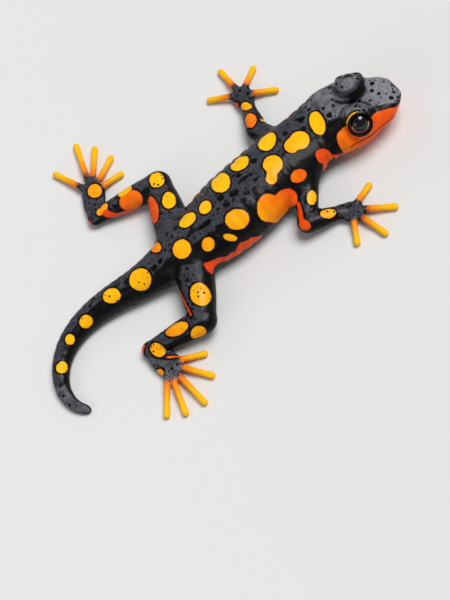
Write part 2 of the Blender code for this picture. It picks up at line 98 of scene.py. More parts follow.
# Folds: between the ribs, under the throat, on the neck, down the back and round the tail. Their
# stretches are where they begin, are full, begin to fade and end.
RIBS_FROM, RIBS_TO, RIBS = 50, 98, 11
RIB_DEPTH, RIB_WIDTH = 0.42, 0.6
RIB_SWELL = 0.45  # share of the depth that goes into a soft wave
RIB_SLANT, RIB_LEVEL = 0.12, 10  # how far a groove leans back for each millimetre above a level
THROAT_FOLD_AT, THROAT_FOLD_DEPTH, THROAT_FOLD_WIDTH = 30, 0.6, 0.8
NECK_FOLDS = (33.4, 36.8, 40.6)
NECK_FOLD_DEPTH, NECK_FOLD_WIDTH = 0.32, 0.55
NECK_FOLD_LEAN, NECK_FOLD_LEVEL = 0.25, 8
FURROW_STRETCH = (34, 44, 150, 180)
FURROW_DEPTH, FURROW_WIDTH, FURROW_RADIUS = 0.28, 0.8, 8
RING_STRETCH = (112, 120, 176, 190)
RING_STEP, RING_DEPTH = 3.3, 0.1
UNEVEN_DEPTH, UNEVEN_LENGTH = 0.07, 7
SOLE_ROUNDING = 0.5

# Eyes, placed in the head's own frame: distance from the snout, sideways, height. Angles are in
# degrees from the way an eye looks.
SIDES = (-1, 1)  # left and right
EYE_AT = (17.2, 8.2, 15.5)
EYE_RADIUS = 4.5
EYE_ROOM = 5.5  # how far outside the eye its lids, ring and crescent can reach
EYE_TURN_FORWARD, EYE_TURN_UP = 10, 38  # degrees from straight out to the side
LID_THICKNESS = 0.95
LID_OPENING = (4.1, 4.8, 3.95)  # half lengths forwards, outwards and upwards
LID_OPENING_OUT = 4.35  # how far out from the eye's middle the opening is centred
LID_ROUNDING = 0.55
LID_RIM_ANGLE, LID_RIM_HEIGHT = 53, 0.16
UNDER_FOLD_ANGLE, UNDER_FOLD_DEPTH = 70, 0.25
SWELLING_BLEND = 2.2
EYE_DOME_RADIUS, EYE_DOME_IN, EYE_DOME_DOWN = 6.2, 1.2, 0.2
BROW_MIDDLE = (-0.7, -0.65)  # of the line's arc, seen from above: ahead and outwards from the eye
BROW_RADIUS, BROW_DEPTH, BROW_HALF_ARC = 7.4, 0.55, 72

NOSTRIL_AT, NOSTRIL_RADIUS, NOSTRIL_ROUNDING = (1.5, 3.4, 12.4), 0.55, 0.3
# Swellings on each side of the head: place, half lengths, and how softly each blends in.
HEAD_SWELLINGS = [
    ((27.5, 8.8, 13), (6.2, 4, 3.6), 1.5),  # gland behind the eye
    ((8, 5.2, 13.4), (4.8, 2, 1.5), 3.2),  # ridge of the snout
    ((20.5, 10.2, 8.6), (6.2, 3.6, 3.2), 2.6),  # jaw muscle
]
HEAD_END = 36

# Limbs: half thickness along each stretch, then for each limb its joints in order, its stretches,
# and its toe tips in plan.
SHOULDER_RADII, FOREARM_RADII = (5.4, 4.8, 4.3, 3.9), (3.9, 3.9, 3.2, 2.6)
HIP_RADII, SHIN_RADII = (7.6, 7.3, 6.5, 5), (5, 4.9, 4, 3)
HAND_RADII, FOOT_RADII = (2.7, 4, 4.3), (3, 4.5, 5)
LIMB_FLATNESS, PALM_FLATNESS = 0.86, 0.48
DIGIT_STEPS = (0, 0.38, 0.7, 1)
DIGIT_RADII = (1.8, 1.3, 1.2, 1.32)
DIGIT_LIFT = (0, 1.1, 0.55, 0)
DIGIT_ROOT_HEIGHT, DIGIT_TIP_HEIGHT = 2.15, 1.38
DIGIT_CREASES, DIGIT_CREASE_DEPTH = (0.45, 0.72), 0.12
JOINT_FOLDS = (-1.5, 0.1, 1.7)
JOINT_FOLD_DEPTH, JOINT_FOLD_WIDTH, JOINT_FOLD_REACH = 0.22, 0.45, 8
LIMB_BLEND, JOINT_BLEND, TOE_BLEND = 3.4, 1.6, 1.1
LIMBS = [
    (  # front left
        [(-6, 21.5, 9), (-22.6, 17.4, 6.4), (-36.6, 21.2, 3.2), (-42, 22.4, 2)],
        (SHOULDER_RADII, FOREARM_RADII, HAND_RADII),
        [(-34.8, 33.8), (-49.6, 33), (-58.6, 22.6), (-51.4, 11.8)],
    ),
    (  # front right
        [(6, 21.5, 9), (24.4, 8.2, 6.4), (28.4, 20.4, 3.2), (31, 23.8, 2)],
        (SHOULDER_RADII, FOREARM_RADII, HAND_RADII),
        [(26.2, 34.8), (40.6, 36.6), (46.6, 27.2), (42, 17)],
    ),
    (  # hind left
        [(-5, -34, 8), (-32.2, -25.6, 7.4), (-42, -52.6, 3.4), (-52, -47.6, 2.4)],
        (HIP_RADII, SHIN_RADII, FOOT_RADII),
        [(-51.6, -34.2), (-60.8, -33.2), (-69.4, -35.8), (-76.4, -40.8), (-72.2, -54.4)],
    ),
    (  # hind right
        [(5, -34, 8), (28.4, -45.8, 7.4), (20.8, -68.2, 3.4), (30.4, -66.4, 2.4)],
        (HIP_RADII, SHIN_RADII, FOOT_RADII),
        [(36.4, -53.4), (45.6, -56.4), (52.2, -64.8), (50.6, -72.8), (46.2, -78.8)],
    ),
]

# Markings. Each spot: place, tones behind and in front (0 yellow to 1 red), share of dark dots,
# and lobes. A place is the distance from the snout and the angle from the mid back towards the
# right, or a point near a limb. A lobe is an ellipse: half length, half width, tilt from forwards,
# and how far it lies forwards and across where it isn't at the place itself.
SPOTS = [
    # Neck and shoulder, five down the left of the back, and those right of it to the rump.
    ((33.2, 7), (0.14, 0.08), 0, (5.5, 2.8, -77)),
    ((42.7, 15.7), (0.2, 0.12), 0, (4.1, 3.6, -74), (3.3, 2.8, -66, -4, -0.1)),
    ((51.6, -34), (0.04, 0.06), 0, (5.2, 3.7, -57)),
    ((65.1, -35), (0.04, 0.06), 0, (4, 3.8, 62)),
    ((75.7, -32.7), (0.04, 0.06), 0, (5.4, 3.9, -86)),
    ((86.5, -15), (0.05, 0.08), 0, (2.8, 2.7, 85)),
    ((94.9, -26.9), (0.05, 0.08), 0, (4, 3.1, 28)),
    ((56.9, 17.4), (0.24, 0.14), 0,
     (4, 3.7, -78), (2.3, 1.4, -46, -3, 2.5), (2, 2, 6, -4.5, 4)),
    ((69.3, 64), (0.14, 0.84), 0,
     (5.3, 4.3, -47), (5.8, 4.7, -7, 6, 3), (4, 3.4, 79, 0.5, 4.5)),
    ((80.3, 45.9), (0.26, 0.3), 0, (4.5, 3.9, 38)),
    ((86.5, 60.3), (0.22, 0.22), 0, (2.7, 1.4, 54)),
    ((94.2, 47.5), (0.34, 0.3), 0, (2.8, 2.5, -37)),
    ((102.9, 22), (0.26, 0.14), 0.3, (4, 3.7, 75)),
    # Right flank, throat with its strip along the chin, belly edge, and root of the tail.
    ((53.1, 62.8), (0.62, 0.78), 0, (3.2, 2.5, 25)),
    ((40.1, 71.1), (0.9, 0.8), 0,
     (3.2, 2.6, 80), (6.6, 0.95, 34, 4.2, 4.3), (2.1, 1.2, -46, -1.4, 4.2)),
    ((82, 94.5), (0.92, 0.84), 0,
     (6.1, 3.4, 24), (4.8, 2.1, 8, -7.9, 0.3), (3.4, 1.4, 14, -14, -1.5),
     (1.8, 1.2, 50, -17.4, -2.8)),
    ((111.4, -36.5), (0.6, 0.4), 0, (3.6, 2.1, 72)),
    # Down the tail.
    ((122.7, 19.9), (0.16, 0.2), 1, (4.5, 4.3, 47)),
    ((135.6, 15.6), (0.14, 0.1), 1, (3.7, 3, 28)),
    ((150.1, 33.8), (0.18, 0.18), 0.6, (2.7, 2.5, 1)),
    ((160, 23.8), (0.1, 0.1), 0, (2.1, 1.9, -39)),
    ((172.1, 29), (0.12, 0.12), 0, (2.4, 2.2, 31)),
    # Left hind leg, from the thigh to the heel.
    ((-31.2, -24.9, 12.1), (0.12, 0.06), 1, (3.9, 2.9, -77)),
    ((-19.5, -26.3, 12.9), (0.12, 0.12), 1, (4.2, 2.7, -60)),
    ((-21.8, -33.8, 11.9), (0.82, 0.76), 0, (6.6, 3.2, -78)),
    ((-33.6, -37.9, 9), (0.7, 0.66), 0, (5, 3.9, 10)),
    ((-38.8, -37.2, 9.2), (0.08, 0.12), 0.2, (3.4, 2.6, 20)),
    ((-35.3, -45.5, 4.6), (0.9, 0.84), 0, (6.6, 1.5, 24), (3.6, 2.4, 30, 4.6, 1.2)),
    ((-40.6, -48.6, 7), (0.36, 0.3), 1, (3.1, 1.9, -7)),
    ((-51.4, -46.4, 4.7), (0.42, 0.36), 0.6, (3.4, 2.8, 85)),
    ((-42.6, -55.6, 2.8), (0.88, 0.88), 0, (3.4, 1.1, 56)),
    # Left front leg.
    ((-34.8, 20.4, 6.2), (0.22, 0.2), 0.4, (3.2, 1.9, 82)),
    ((-26.3, 17.7, 9.1), (0.74, 0.44), 1, (4.2, 2.5, -71)),
    ((-23, 21.6, 7.4), (0.15, 0.1), 0, (1.6, 0.8, 60)),
    ((-40.6, 17, 3.4), (0.9, 0.86), 0, (2.2, 1, 75)),
    # Right front leg.
    ((19.5, 15.2, 10.2), (0.1, 0.16), 0.5, (2.9, 2, -36)),
    ((27.5, 15.9, 7.3), (0.36, 0.16), 1, (3.1, 2, 33)),
    ((26.1, 6, 9.3), (0.74, 0.9), 0,
     (2.5, 2.1, 52), (1.9, 1.1, -78, 0.9, -3.8), (2.4, 1.1, -70, 2.2, -6.6)),
    # Right hind leg, from the thigh to the first toe.
    ((22.1, -40.2, 12.8), (0.2, 0.3), 1, (4.7, 3.8, -84)),
    ((19.1, -46.8, 10.9), (0.88, 0.88), 0, (7, 0.65, -85)),
    ((32, -50.1, 8.6), (0.2, 0.34), 0.3, (3.4, 2.6, -23)),
    ((25.1, -55.5, 9.8), (0.5, 0.24), 0.4, (5.1, 2.6, 21)),
    ((24.4, -66, 5.6), (0.28, 0.22), 1, (3.2, 2.5, 52)),
    ((19.8, -70.9, 4.6), (0.8, 0.8), 0, (2.6, 1, -29)),
    ((30.4, -63.1, 4.3), (0.7, 0.7), 0, (3, 0.5, 19)),
    ((31.4, -70.9, 3.3), (0.45, 0.4), 0.6, (2, 1.5, -20)),
    # The left flank and the tail's side, which the photo hides.
    ((40.5, -76), (0.95, 0.85), 0, (3, 2.2, -80)),
    ((57.5, -80), (0.5, 0.85), 0, (5.6, 3.6, 12), (3, 2.6, 0, -4.6, 2)),
    ((73, -82), (0.4, 0.55), 0, (4, 3.4, -40)),
    ((86.5, -70), (0.34, 0.4), 0, (3.2, 2.6, 20)),
    ((80, -104), (0.98, 0.9), 0, (8, 1.3, 3), (3, 2, 0, -4, 0.6)),
    ((128, -72), (0.5, 0.4), 0.5, (3.4, 2.2, 10)),
    ((143.5, -66), (0.3, 0.3), 0, (2.6, 1.9, -10)),
    ((156, -74), (0.4, 0.4), 0, (2, 1.5, 0)),
]
# Black blotches of the back: place and lobe.
BLOTCHES = [
    ((74.9, 7.3), (2.1, 1.5, 20)), ((67.8, 32.8), (2, 1.7, 50)),
    ((68.6, -1.5), (2.3, 0.9, 10)), ((79.8, -5), (1.4, 1.4, 0)),
    ((79.7, 14.4), (1.6, 1.1, 40)), ((74.1, 30.3), (1.3, 1.3, 0)),
    ((71.3, 24.6), (1.4, 0.9, 40)), ((60.8, -14.7), (1.3, 1.2, 0)),
    ((90.7, 13.9), (3.2, 1.1, 8)), ((96, 4), (1.7, 1.1, 15)), ((65.6, 17.3), (1, 0.9, 0)),
    ((36.8, -33.5), (1.5, 1.2, 0)), ((27.7, 8.9), (1.3, 1, 80)),
    ((23.3, -63.1), (1.6, 1, 30)), ((112.4, 12.7), (1.2, 1.1, 0)),
    ((115.8, 18.3), (1.4, 1.1, 0)), ((127.7, 2.4), (1.5, 1.2, 0)),
    ((141.2, 16.6), (1.2, 1, 0)),
]
EDGE_REACH = 3.0  # how far from a patch its edge distance is still worked out
LOBE_BLEND = 1.6
TOE_COLOUR = (0.3, 0.46)  # shares of a toe's length at which its colour begins and is full
CHEEK_TOP = [
    (-4, 96), (0.5, 88), (3, 71), (5, 63), (8, 58), (12, 54), (17, 50),
    (22, 50), (26, 54), (29, 57), (31, 66), (33, 88), (36, 100),
]
CHEEK_END, CHEEK_TONE = 31.2, 0.8
CHEEK_DEGREE_MM = 0.2
CHEEK_LEFT_LOWER = 38  # degrees that the left cheek's patch sits lower than the right one's
# Where the back's charcoal ends and the right flank turns black with painted shade: distance
# from the snout, and degrees from the mid back.
RIGHT_FLANK_SHADE_FROM = [
    (0, 80), (16, 70), (24, 28), (40, 27), (54, 24), (64, 38), (76, 44),
    (85, 30), (98, 22), (107, 12), (118, 22), (128, 8), (162, 4),
    (172, 12), (184, 90),
]
RIGHT_FLANK_SHADE_BLEND = 14
# From where to where along the body the flank's painted shade gets less black by a share, the
# painted light on the shoulders reaches less far down, and head, snout and tail's end get lighter.
FLANK_SHADE_SOFTER, FLANK_SHADE_SOFTER_RUN = 0.3, (60, 80)
NECK_SHADE_RUN, HEAD_GREY_RUN, SNOUT_GREY_RUN = (22, 32), (28, 42), (6, 14)
TAIL_GREY_RUN = (172, 184)
EYE_RING_ANGLE = 51.5  # out to which the lids are black
DEGREE_MM = 0.088  # a degree on the lids, in millimetres
CRESCENTS = [(1, 62, 62), (-1, -22, 36)]  # side, and middle and half of its arc
CRESCENT_WIDTH, CRESCENT_TONE = 0.42, 0.12
EYE_SIDES = 64
EYE_RINGS = [*np.linspace(0, 75, 46), *np.linspace(75, 180, 22)[1:]]
CORNEA_RADIUS, CORNEA_OUT, CORNEA_BLEND, CORNEA_SUNK = 4.2, 0.55, 0.5, 0.03
# The pale rim is partly the eye's own light ring and partly a painted reflection of the floor,
# kept to the lower half.
EYE_RIM_REFLECTION_TURN = 10  # degrees by which the pale rim is turned round the eye

# Colours, and layers of specks and dots: cell size, largest radius in cells, and share of cells.
SPOT_SHADES = [
    (0, "#FFC808"), (0.3, "#FFAA06"), (0.6, "#FB8008"), (0.8, "#F2580A"), (1, "#DA3414"),
]
SPOT_EDGE, DOT_BROWN = "#6E3206", "#2a1c10"
# The last is the black of the lids round the eyes, and the painted shade in the mouth line, brow
# lines and nostrils.
BLACK, BLACK_LIGHT, LINE_AND_SHADE_BLACK = "#050506", "#0c0c0e", "#040304"
CHARCOAL_DARK, CHARCOAL_LIGHT = "#323239", "#45454d"
HEAD_DARK, HEAD_LIGHT = "#74747a", "#8a8a91"
PUPIL, IRIS_DARK, IRIS_LIGHT = "#040303", "#080503", "#140c06"
# The pale rim: partly the eye's own light ring, partly a painted reflection of the floor.
EYE_RIM_AND_REFLECTION, EYE_EDGE = "#e8e4d6", "#060505"
FLOOR_COLOUR, SKY_COLOUR = (0.74, 0.74, 0.73, 1), (0.93, 0.95, 1, 1)
SPECKS = [(3.4, 0.36, 0.8), (2.1, 0.38, 0.85), (1.3, 0.3, 0.6)]
DOTS = (1.5, 0.33, 0.75)

# The camera: degrees up and degrees of roll, the millimetres that a pixel covers, the pixel of
# the trunk frame's origin in the photo's frame, and the lens.
PHOTO_SIZE = (450, 600)
CAMERA_HEIGHT, CAMERA_ROLL = 59, 40
PIXEL_MM = 0.385
TRUNK_PIXEL = (260.6, 202.6)
CAMERA_LENS = 120

# Stage and lights. The key light is far off and 32 degrees wide; the other lights have name,
# direction, distance and size in metres, and power in watts.
FLOOR_SIZE, FLOOR_LEVEL = 12, -0.15
SKY_STRENGTH = 0.24
KEY_WAY, KEY_STRENGTH, KEY_WIDTH = (0.14, 0.42, 0.88), 2.7, 32
LIGHTS = [
    ("fill", (0.3, -0.9, 0.5), 0.9, 0.5, 0.9),
    ("back", (-0.8, -0.2, 0.6), 0.9, 0.4, 0.5),
]

# Mesh density: the lattice's step, which is halved on the head and again at lids and lips.
LATTICE_STEP = 0.68
HEAD_MESH_END = 31
BLOCK = 4
SLOPE_STEP = 0.03


def smooth_table(knots, values, at):
    """Values at the given places on a smooth curve through the table's rows."""
    x, y, at = np.asarray(knots, float), np.asarray(values, float), np.asarray(at, float)
    slope = np.gradient(y, x)
    i = np.clip(np.searchsorted(x, at) - 1, 0, len(x) - 2)
    step = x[i + 1] - x[i]
    t = np.clip((at - x[i]) / step, 0.0, 1.0)
    rise = y[i + 1] - y[i]
    return (
        y[i] + t * t * (3 - 2 * t) * rise
        + t * (1 - t) ** 2 * step * slope[i]
        - t * t * (1 - t) * step * slope[i + 1]
    )


def unit(v):
    """A direction, or rows of them, brought to a length of 1."""
    return v / np.linalg.norm(v, axis=-1, keepdims=True)


def spine_line(per_span=24):
    """Plan points of the spine on a smooth curve, and the distance of each from the snout."""
    plan = np.array(SPINE_PLAN)
    rough = np.concatenate([[0.0], np.cumsum(np.linalg.norm(np.diff(plan, axis=0), axis=1))])
    fine = np.linspace(0.0, rough[-1], per_span * (len(plan) - 1) + 1)
    line = np.stack([smooth_table(rough, plan[:, axis], fine) for axis in (0, 1)], axis=1)
    along = np.concatenate([[0.0], np.cumsum(np.linalg.norm(np.diff(line, axis=0), axis=1))])
    return line, along


SPINE, SPINE_AT = spine_line()
BODY_LENGTH = SPINE_AT[-1]
SPINE_FORWARD = unit(-np.gradient(SPINE, SPINE_AT, axis=0))
SPINE_RIGHT = np.stack([SPINE_FORWARD[:, 1], -SPINE_FORWARD[:, 0]], axis=1)
SPINE_SKIP = 8  # the nearest place is looked for in steps of this many points, then near by

BODY_AT = np.arange(0.0, BODY_LENGTH, 0.25)
SECTION_AT, *SIZES = zip(*BODY_SECTIONS)
BODY_HALF, BODY_BACK, BODY_BELLY = (smooth_table(SECTION_AT, size, BODY_AT) for size in SIZES)
BODY_LEVEL = BODY_BELLY + WIDEST_LEVEL * (BODY_BACK - BODY_BELLY)
BODY_POWER = smooth_table(*zip(*SECTION_POWER), BODY_AT)


def spine_place(flat):
    """Distance from the snout and offset to the right of plan points, by the nearest place."""
    rough = SPINE[::SPINE_SKIP]
    gap = ((flat[:, None, :] - rough[None]) ** 2).sum(axis=2)
    middle = gap.argmin(axis=1) * SPINE_SKIP
    window = np.clip(middle[:, None] + np.arange(-SPINE_SKIP, SPINE_SKIP + 1), 0, len(SPINE) - 1)
    gap = ((flat[:, None, :] - SPINE[window]) ** 2).sum(axis=2)
    best = window[np.arange(len(flat)), gap.argmin(axis=1)]
    offset = flat - SPINE[best]
    along = (offset * SPINE_FORWARD[best]).sum(axis=1)
    return SPINE_AT[best] - along, (offset * SPINE_RIGHT[best]).sum(axis=1)


def on_spine(line, s):
    """A plan line of the spine, read at distances from the snout."""
    return np.stack([np.interp(s, SPINE_AT, line[:, axis]) for axis in (0, 1)], axis=-1)


def on_body(s, side, height):
    """A place given by distance from the snout, offset to the right and height."""
    return np.array((*(on_spine(SPINE, s) + side * on_spine(SPINE_RIGHT, s)), height))


def head_axes(s):
    """Forward, right and up at a place on the head, as rows."""
    forward = unit(on_spine(SPINE_FORWARD, s))
    return np.array([(*forward, 0.0), (forward[1], -forward[0], 0.0), (0.0, 0.0, 1.0)])


def eye_frame(side):
    """Centre of an eye, and its own forward, outward and upward axes, as rows."""
    s, offset, height = EYE_AT
    forward, right, up = head_axes(s)
    ahead, tilt = math.radians(EYE_TURN_FORWARD), math.radians(EYE_TURN_UP)
    look = right * side * math.cos(ahead) + forward * math.sin(ahead)
    look = look * math.cos(tilt) + up * math.sin(tilt)
    eye_up = unit(up - (up @ look) * look)
    eye_forward = np.cross(look, eye_up) * side
    return on_body(s, side * offset, height), np.array([eye_forward, look, eye_up])


EYES = {side: eye_frame(side) for side in SIDES}
NOSTRILS = [on_body(NOSTRIL_AT[0], side * NOSTRIL_AT[1], NOSTRIL_AT[2]) for side in SIDES]


def smooth_min(a, b, width):
    """The smaller of two depths, with the corner between them rounded off."""
    near = np.maximum(width - np.abs(a - b), 0.0) / width
    return np.minimum(a, b) - near * near * width / 4


def smooth_max(a, b, width):
    """The larger of two depths, with the corner between them rounded off."""
    return -smooth_min(-a, -b, width)


def hill(x, width):
    """1 in the middle, running out smoothly over about twice the width."""
    return np.exp(-((x / width) ** 2))


def ramp(x, start, end):
    """0 before start and 1 after end, with a smooth run between."""
    t = np.clip((x - start) / (end - start), 0.0, 1.0)
    return t * t * (3 - 2 * t)


def ellipsoid_depth(p, centre, sizes, axes):
    """Depth of points against an ellipsoid with half lengths sizes along the rows of axes."""
    scaled = (p - centre) @ np.asarray(axes).T / np.asarray(sizes)
    return (np.linalg.norm(scaled, axis=1) - 1) * min(sizes)


def section(s):
    """The body's section: half width, level where it is widest, back, belly and squareness."""
    columns = (BODY_HALF, BODY_LEVEL, BODY_BACK, BODY_BELLY, BODY_POWER)
    return [np.interp(s, BODY_AT, column) for column in columns]


def body_shape(p, s, side):
    """Depth against the plain body, and the angle round its section from the mid back."""
    half, level, back, belly, power = section(s)
    rise = p[:, 2] - level
    tall = np.where(rise > 0, back - level, level - belly)
    q = ((np.abs(side) / half) ** power + (np.abs(rise) / tall) ** power) ** (1 / power)
    nose = np.maximum(0.0, 1 - s / SNOUT_ROUNDING)
    tail = np.maximum(0.0, 1 - (BODY_LENGTH - s) / TAIL_ROUNDING)
    size = np.maximum(np.hypot(side, rise), 0.5) / np.maximum(q, 0.1)
    depth = (np.sqrt(q * q + nose * nose + tail * tail) - 1) * size
    return depth, np.arctan2(side, rise)


def head_forms():
    """Swellings of the head: centre, half lengths, axes, and how softly each blends in."""
    made = []
    for side, (centre, axes) in EYES.items():
        under = centre - EYE_DOME_IN * axes[1] - EYE_DOME_DOWN * axes[2]
        made.append((centre, (EYE_RADIUS + LID_THICKNESS,) * 3, axes, SWELLING_BLEND))
        made.append((under, (EYE_DOME_RADIUS,) * 3, axes, SWELLING_BLEND))
        for (s, offset, height), sizes, blend in HEAD_SWELLINGS:
            made.append((on_body(s, side * offset, height), sizes, head_axes(s), blend))
    return made


HEAD_FORMS = head_forms()


def mouth_height(s):
    """Height of the mouth line at distances from the snout."""
    return smooth_table(*zip(*MOUTH_LINE), s)


def mouth_inset(p, s):
    """Depth of the mouth's groove, less the swelling of the upper lip over it."""
    fade = 1 - ramp(s, MOUTH_END - 3.0, MOUTH_END + 0.6)
    above = p[:, 2] - mouth_height(s)
    lip = LIP_SWELL * hill(above - LIP_ABOVE, LIP_WIDTH)
    return fade * (MOUTH_DEPTH * hill(above, MOUTH_WIDTH) - lip)


def stretch(s, start, full, fading, end):
    """1 along a stretch of the body, with a smooth run at each end."""
    return ramp(s, start, full) * (1 - ramp(s, fading, end))


def wave(x, length):
    """A smooth wave between 0 and 1, highest at 0."""
    return 0.5 + 0.5 * np.cos(2 * np.pi * x / length)


def body_inset(p, s, turn):
    """How far folds and grooves lie under the plain body."""
    flank, upright = np.abs(np.sin(turn)), np.cos(turn)
    slanted = s + RIB_SLANT * (p[:, 2] - RIB_LEVEL) - RIBS_FROM
    length = RIBS_TO - RIBS_FROM
    step = length / RIBS
    from_groove = (slanted / step + 0.5) % 1.0 - 0.5
    grooves = (1 - RIB_SWELL) * hill(from_groove * step, RIB_WIDTH)
    grooves += RIB_SWELL * wave(slanted, step)
    ribbed = ramp(flank, 0.35, 0.8) * stretch(slanted, -1.0, 3.0, length - 3, length + 1)
    inset = RIB_DEPTH * ribbed * grooves
    back = stretch(s, *FURROW_STRETCH) * (upright > 0)
    inset += FURROW_DEPTH * back * hill(np.sin(turn) * FURROW_RADIUS, FURROW_WIDTH)
    throat = hill(s - THROAT_FOLD_AT - 1.2 * upright, THROAT_FOLD_WIDTH)
    inset += THROAT_FOLD_DEPTH * ramp(-upright, -0.2, 0.5) * throat
    for at in NECK_FOLDS:
        leaning = s - at + NECK_FOLD_LEAN * (p[:, 2] - NECK_FOLD_LEVEL)
        inset += NECK_FOLD_DEPTH * ramp(flank, 0.55, 0.9) * hill(leaning, NECK_FOLD_WIDTH)
    return inset + RING_DEPTH * stretch(s, *RING_STRETCH) * wave(s, RING_STEP)


def uneven(p, wavelength):
    """A smooth irregular wave between about -1 and 1, the same at each run."""
    k = 2 * np.pi / wavelength
    x, y, z = p.T
    return (
        np.sin(k * (0.91 * x + 0.37 * z) + 1.3) * np.sin(k * (0.83 * y - 0.41 * x) + 0.4)
        + 0.6 * np.sin(k * (1.7 * z + 0.6 * y) + 2.1) * np.sin(k * (1.3 * x - 0.9 * y) + 0.9)
    ) / 1.6


def brow_line(p, side, width):
    """1 on the line that arches over an eye, and 0 elsewhere."""
    centre = EYES[side][0]
    forward, right, _ = head_axes(EYE_AT[0])
    offset = p - centre
    ahead = offset @ forward - BROW_MIDDLE[0]
    inward = BROW_MIDDLE[1] - side * (offset @ right)
    share = ramp(BROW_HALF_ARC - np.abs(np.degrees(np.arctan2(ahead, inward))), 0.0, 22.0)
    return hill(np.hypot(ahead, inward) - BROW_RADIUS, width) * share * (offset[:, 2] > -2.0)


def eye_place(points, side):
    """Distance from an eye's middle, angle from the way it looks, and angle round it.

    Both are in degrees. The second is 180 away from the eye, and the third runs from backwards
    towards up.
    """
    centre, axes = EYES[side]
    back, out, up = ((points - centre) @ axes.T).T
    reach = np.sqrt(back**2 + out**2 + up**2)
    away = np.degrees(np.arccos(np.clip(out / np.maximum(reach, 0.1), -1, 1)))
    away = np.where(reach < EYE_RADIUS + EYE_ROOM, away, 180.0)
    return reach, away, np.degrees(np.arctan2(up, back))


def eye_folds(p):
    """The brow line, a fold under the eye, and the thick rim of its lids, as an inset."""
    inset = np.zeros(len(p))
    for side in SIDES:
        reach, away, turn = eye_place(p, side)
        near = reach < EYE_RADIUS + 4.0
        lower = 1 - ramp(np.sin(np.radians(turn)), -0.35, 0.45)
        inset += BROW_DEPTH * brow_line(p, side, 0.6)
        inset += near * lower * UNDER_FOLD_DEPTH * hill(away - UNDER_FOLD_ANGLE, 5.0)
        inset -= near * LID_RIM_HEIGHT * hill(away - LID_RIM_ANGLE, 6.0)
    return inset


def head_shape(p, s, depth):
    """Depth once the head's swellings, mouth and lid folds are added."""
    for centre, sizes, axes, blend in HEAD_FORMS:
        depth = smooth_min(depth, ellipsoid_depth(p, centre, sizes, axes), blend)
    return depth + mouth_inset(p, s) + eye_folds(p)


def cut_head(p, depth):
    """Depth once the openings of the lids and the nostrils are cut in."""
    for (centre, axes), nostril in zip(EYES.values(), NOSTRILS):
        opening = ellipsoid_depth(p, centre + axes[1] * LID_OPENING_OUT, LID_OPENING, axes)
        depth = smooth_max(depth, -opening, LID_ROUNDING)
        pit = np.linalg.norm(p - nostril, axis=1) - NOSTRIL_RADIUS
        depth = smooth_max(depth, -pit, NOSTRIL_ROUNDING)
    return depth


def rod_place(p, start, end):
    """Share along a straight stretch, and the offset of points from it."""
    start, way = np.asarray(start, float), np.subtract(end, start)
    share = np.clip((p - start) @ way / (way @ way), 0.0, 1.0)
    return share, p - start - share[:, None] * way


def rod_depth(p, start, end, radii, flatness):
    """Depth against a tapered rod with round ends, lower than it is wide by flatness."""
    share, offset = rod_place(p, start, end)
    offset[:, 2] /= flatness
    radius = smooth_table(np.linspace(0, 1, len(radii)), radii, share)
    return (np.linalg.norm(offset, axis=1) - radius) * (1 + flatness) / 2


def digit_depth(p, palm, tip):
    """Depth against one arched toe, and the share along it from palm to tip."""
    flat = p * (1.0, 1.0, 0.0)
    share, offset = rod_place(flat, (*palm[:2], 0.0), (*tip, 0.0))
    height = DIGIT_ROOT_HEIGHT + share * (DIGIT_TIP_HEIGHT - DIGIT_ROOT_HEIGHT)
    height += smooth_table(DIGIT_STEPS, DIGIT_LIFT, share)
    offset[:, 2] = p[:, 2] - height
    radius = smooth_table(DIGIT_STEPS, DIGIT_RADII, share)
    crease = DIGIT_CREASE_DEPTH * sum(hill(share - at, 0.03) for at in DIGIT_CREASES)
    return np.linalg.norm(offset, axis=1) - radius + crease, share


def joint_folds(p, before, middle, after):
    """Folds across the inner side of a bent joint, as an inset."""
    bend = unit(unit(middle - before) + unit(after - middle))
    inner = unit((before + after) / 2 - middle)
    offset = p - middle
    near = np.linalg.norm(offset, axis=1) < JOINT_FOLD_REACH
    folds = sum(hill(offset @ bend - at, JOINT_FOLD_WIDTH) for at in JOINT_FOLDS)
    return near * JOINT_FOLD_DEPTH * ramp(offset @ inner, -0.5, 2.5) * folds


def limb_depth(p, joints, radii, tips):
    """Depth against a whole limb, with the folds at its joints."""
    joints = np.array(joints)
    upper = rod_depth(p, joints[0], joints[1], radii[0], LIMB_FLATNESS)
    lower = rod_depth(p, joints[1], joints[2], radii[1], LIMB_FLATNESS)
    depth = smooth_min(upper, lower, JOINT_BLEND)
    depth += joint_folds(p, *joints[:3]) + joint_folds(p, *joints[1:])
    hand = rod_depth(p, joints[2], joints[3], radii[2], PALM_FLATNESS)
    for tip in tips:
        hand = smooth_min(hand, digit_depth(p, joints[3], tip)[0], TOE_BLEND)
    return smooth_min(depth, hand, JOINT_BLEND)


def limb_near(p, limb, margin):
    """Which points are near enough to a limb for it to count."""
    joints, _, tips = limb
    corners = np.array([joint[:2] for joint in joints] + tips)
    inside = (p[:, :2] > corners.min(axis=0) - margin) & (p[:, :2] < corners.max(axis=0) + margin)
    return inside.all(axis=1)


def skin_depth(p):
    """Depth of points under the skin: below zero inside the animal."""
    s, side = spine_place(p[:, :2])
    depth, turn = body_shape(p, s, side)
    depth += body_inset(p, s, turn) + UNEVEN_DEPTH * uneven(p, UNEVEN_LENGTH)
    head = s < HEAD_END
    depth[head] = head_shape(p[head], s[head], depth[head])
    for limb in LIMBS:
        near = limb_near(p, limb, 10.0)
        depth[near] = smooth_min(depth[near], limb_depth(p[near], *limb), LIMB_BLEND)
    depth[head] = cut_head(p[head], depth[head])
    return smooth_max(depth, -p[:, 2], SOLE_ROUNDING)


def in_chunks(work, points, size=40000):
    """The results of a function of many points, worked out some at a time."""
    parts = [work(points[k : k + size]) for k in range(0, len(points), size)]
    return np.concatenate(parts)


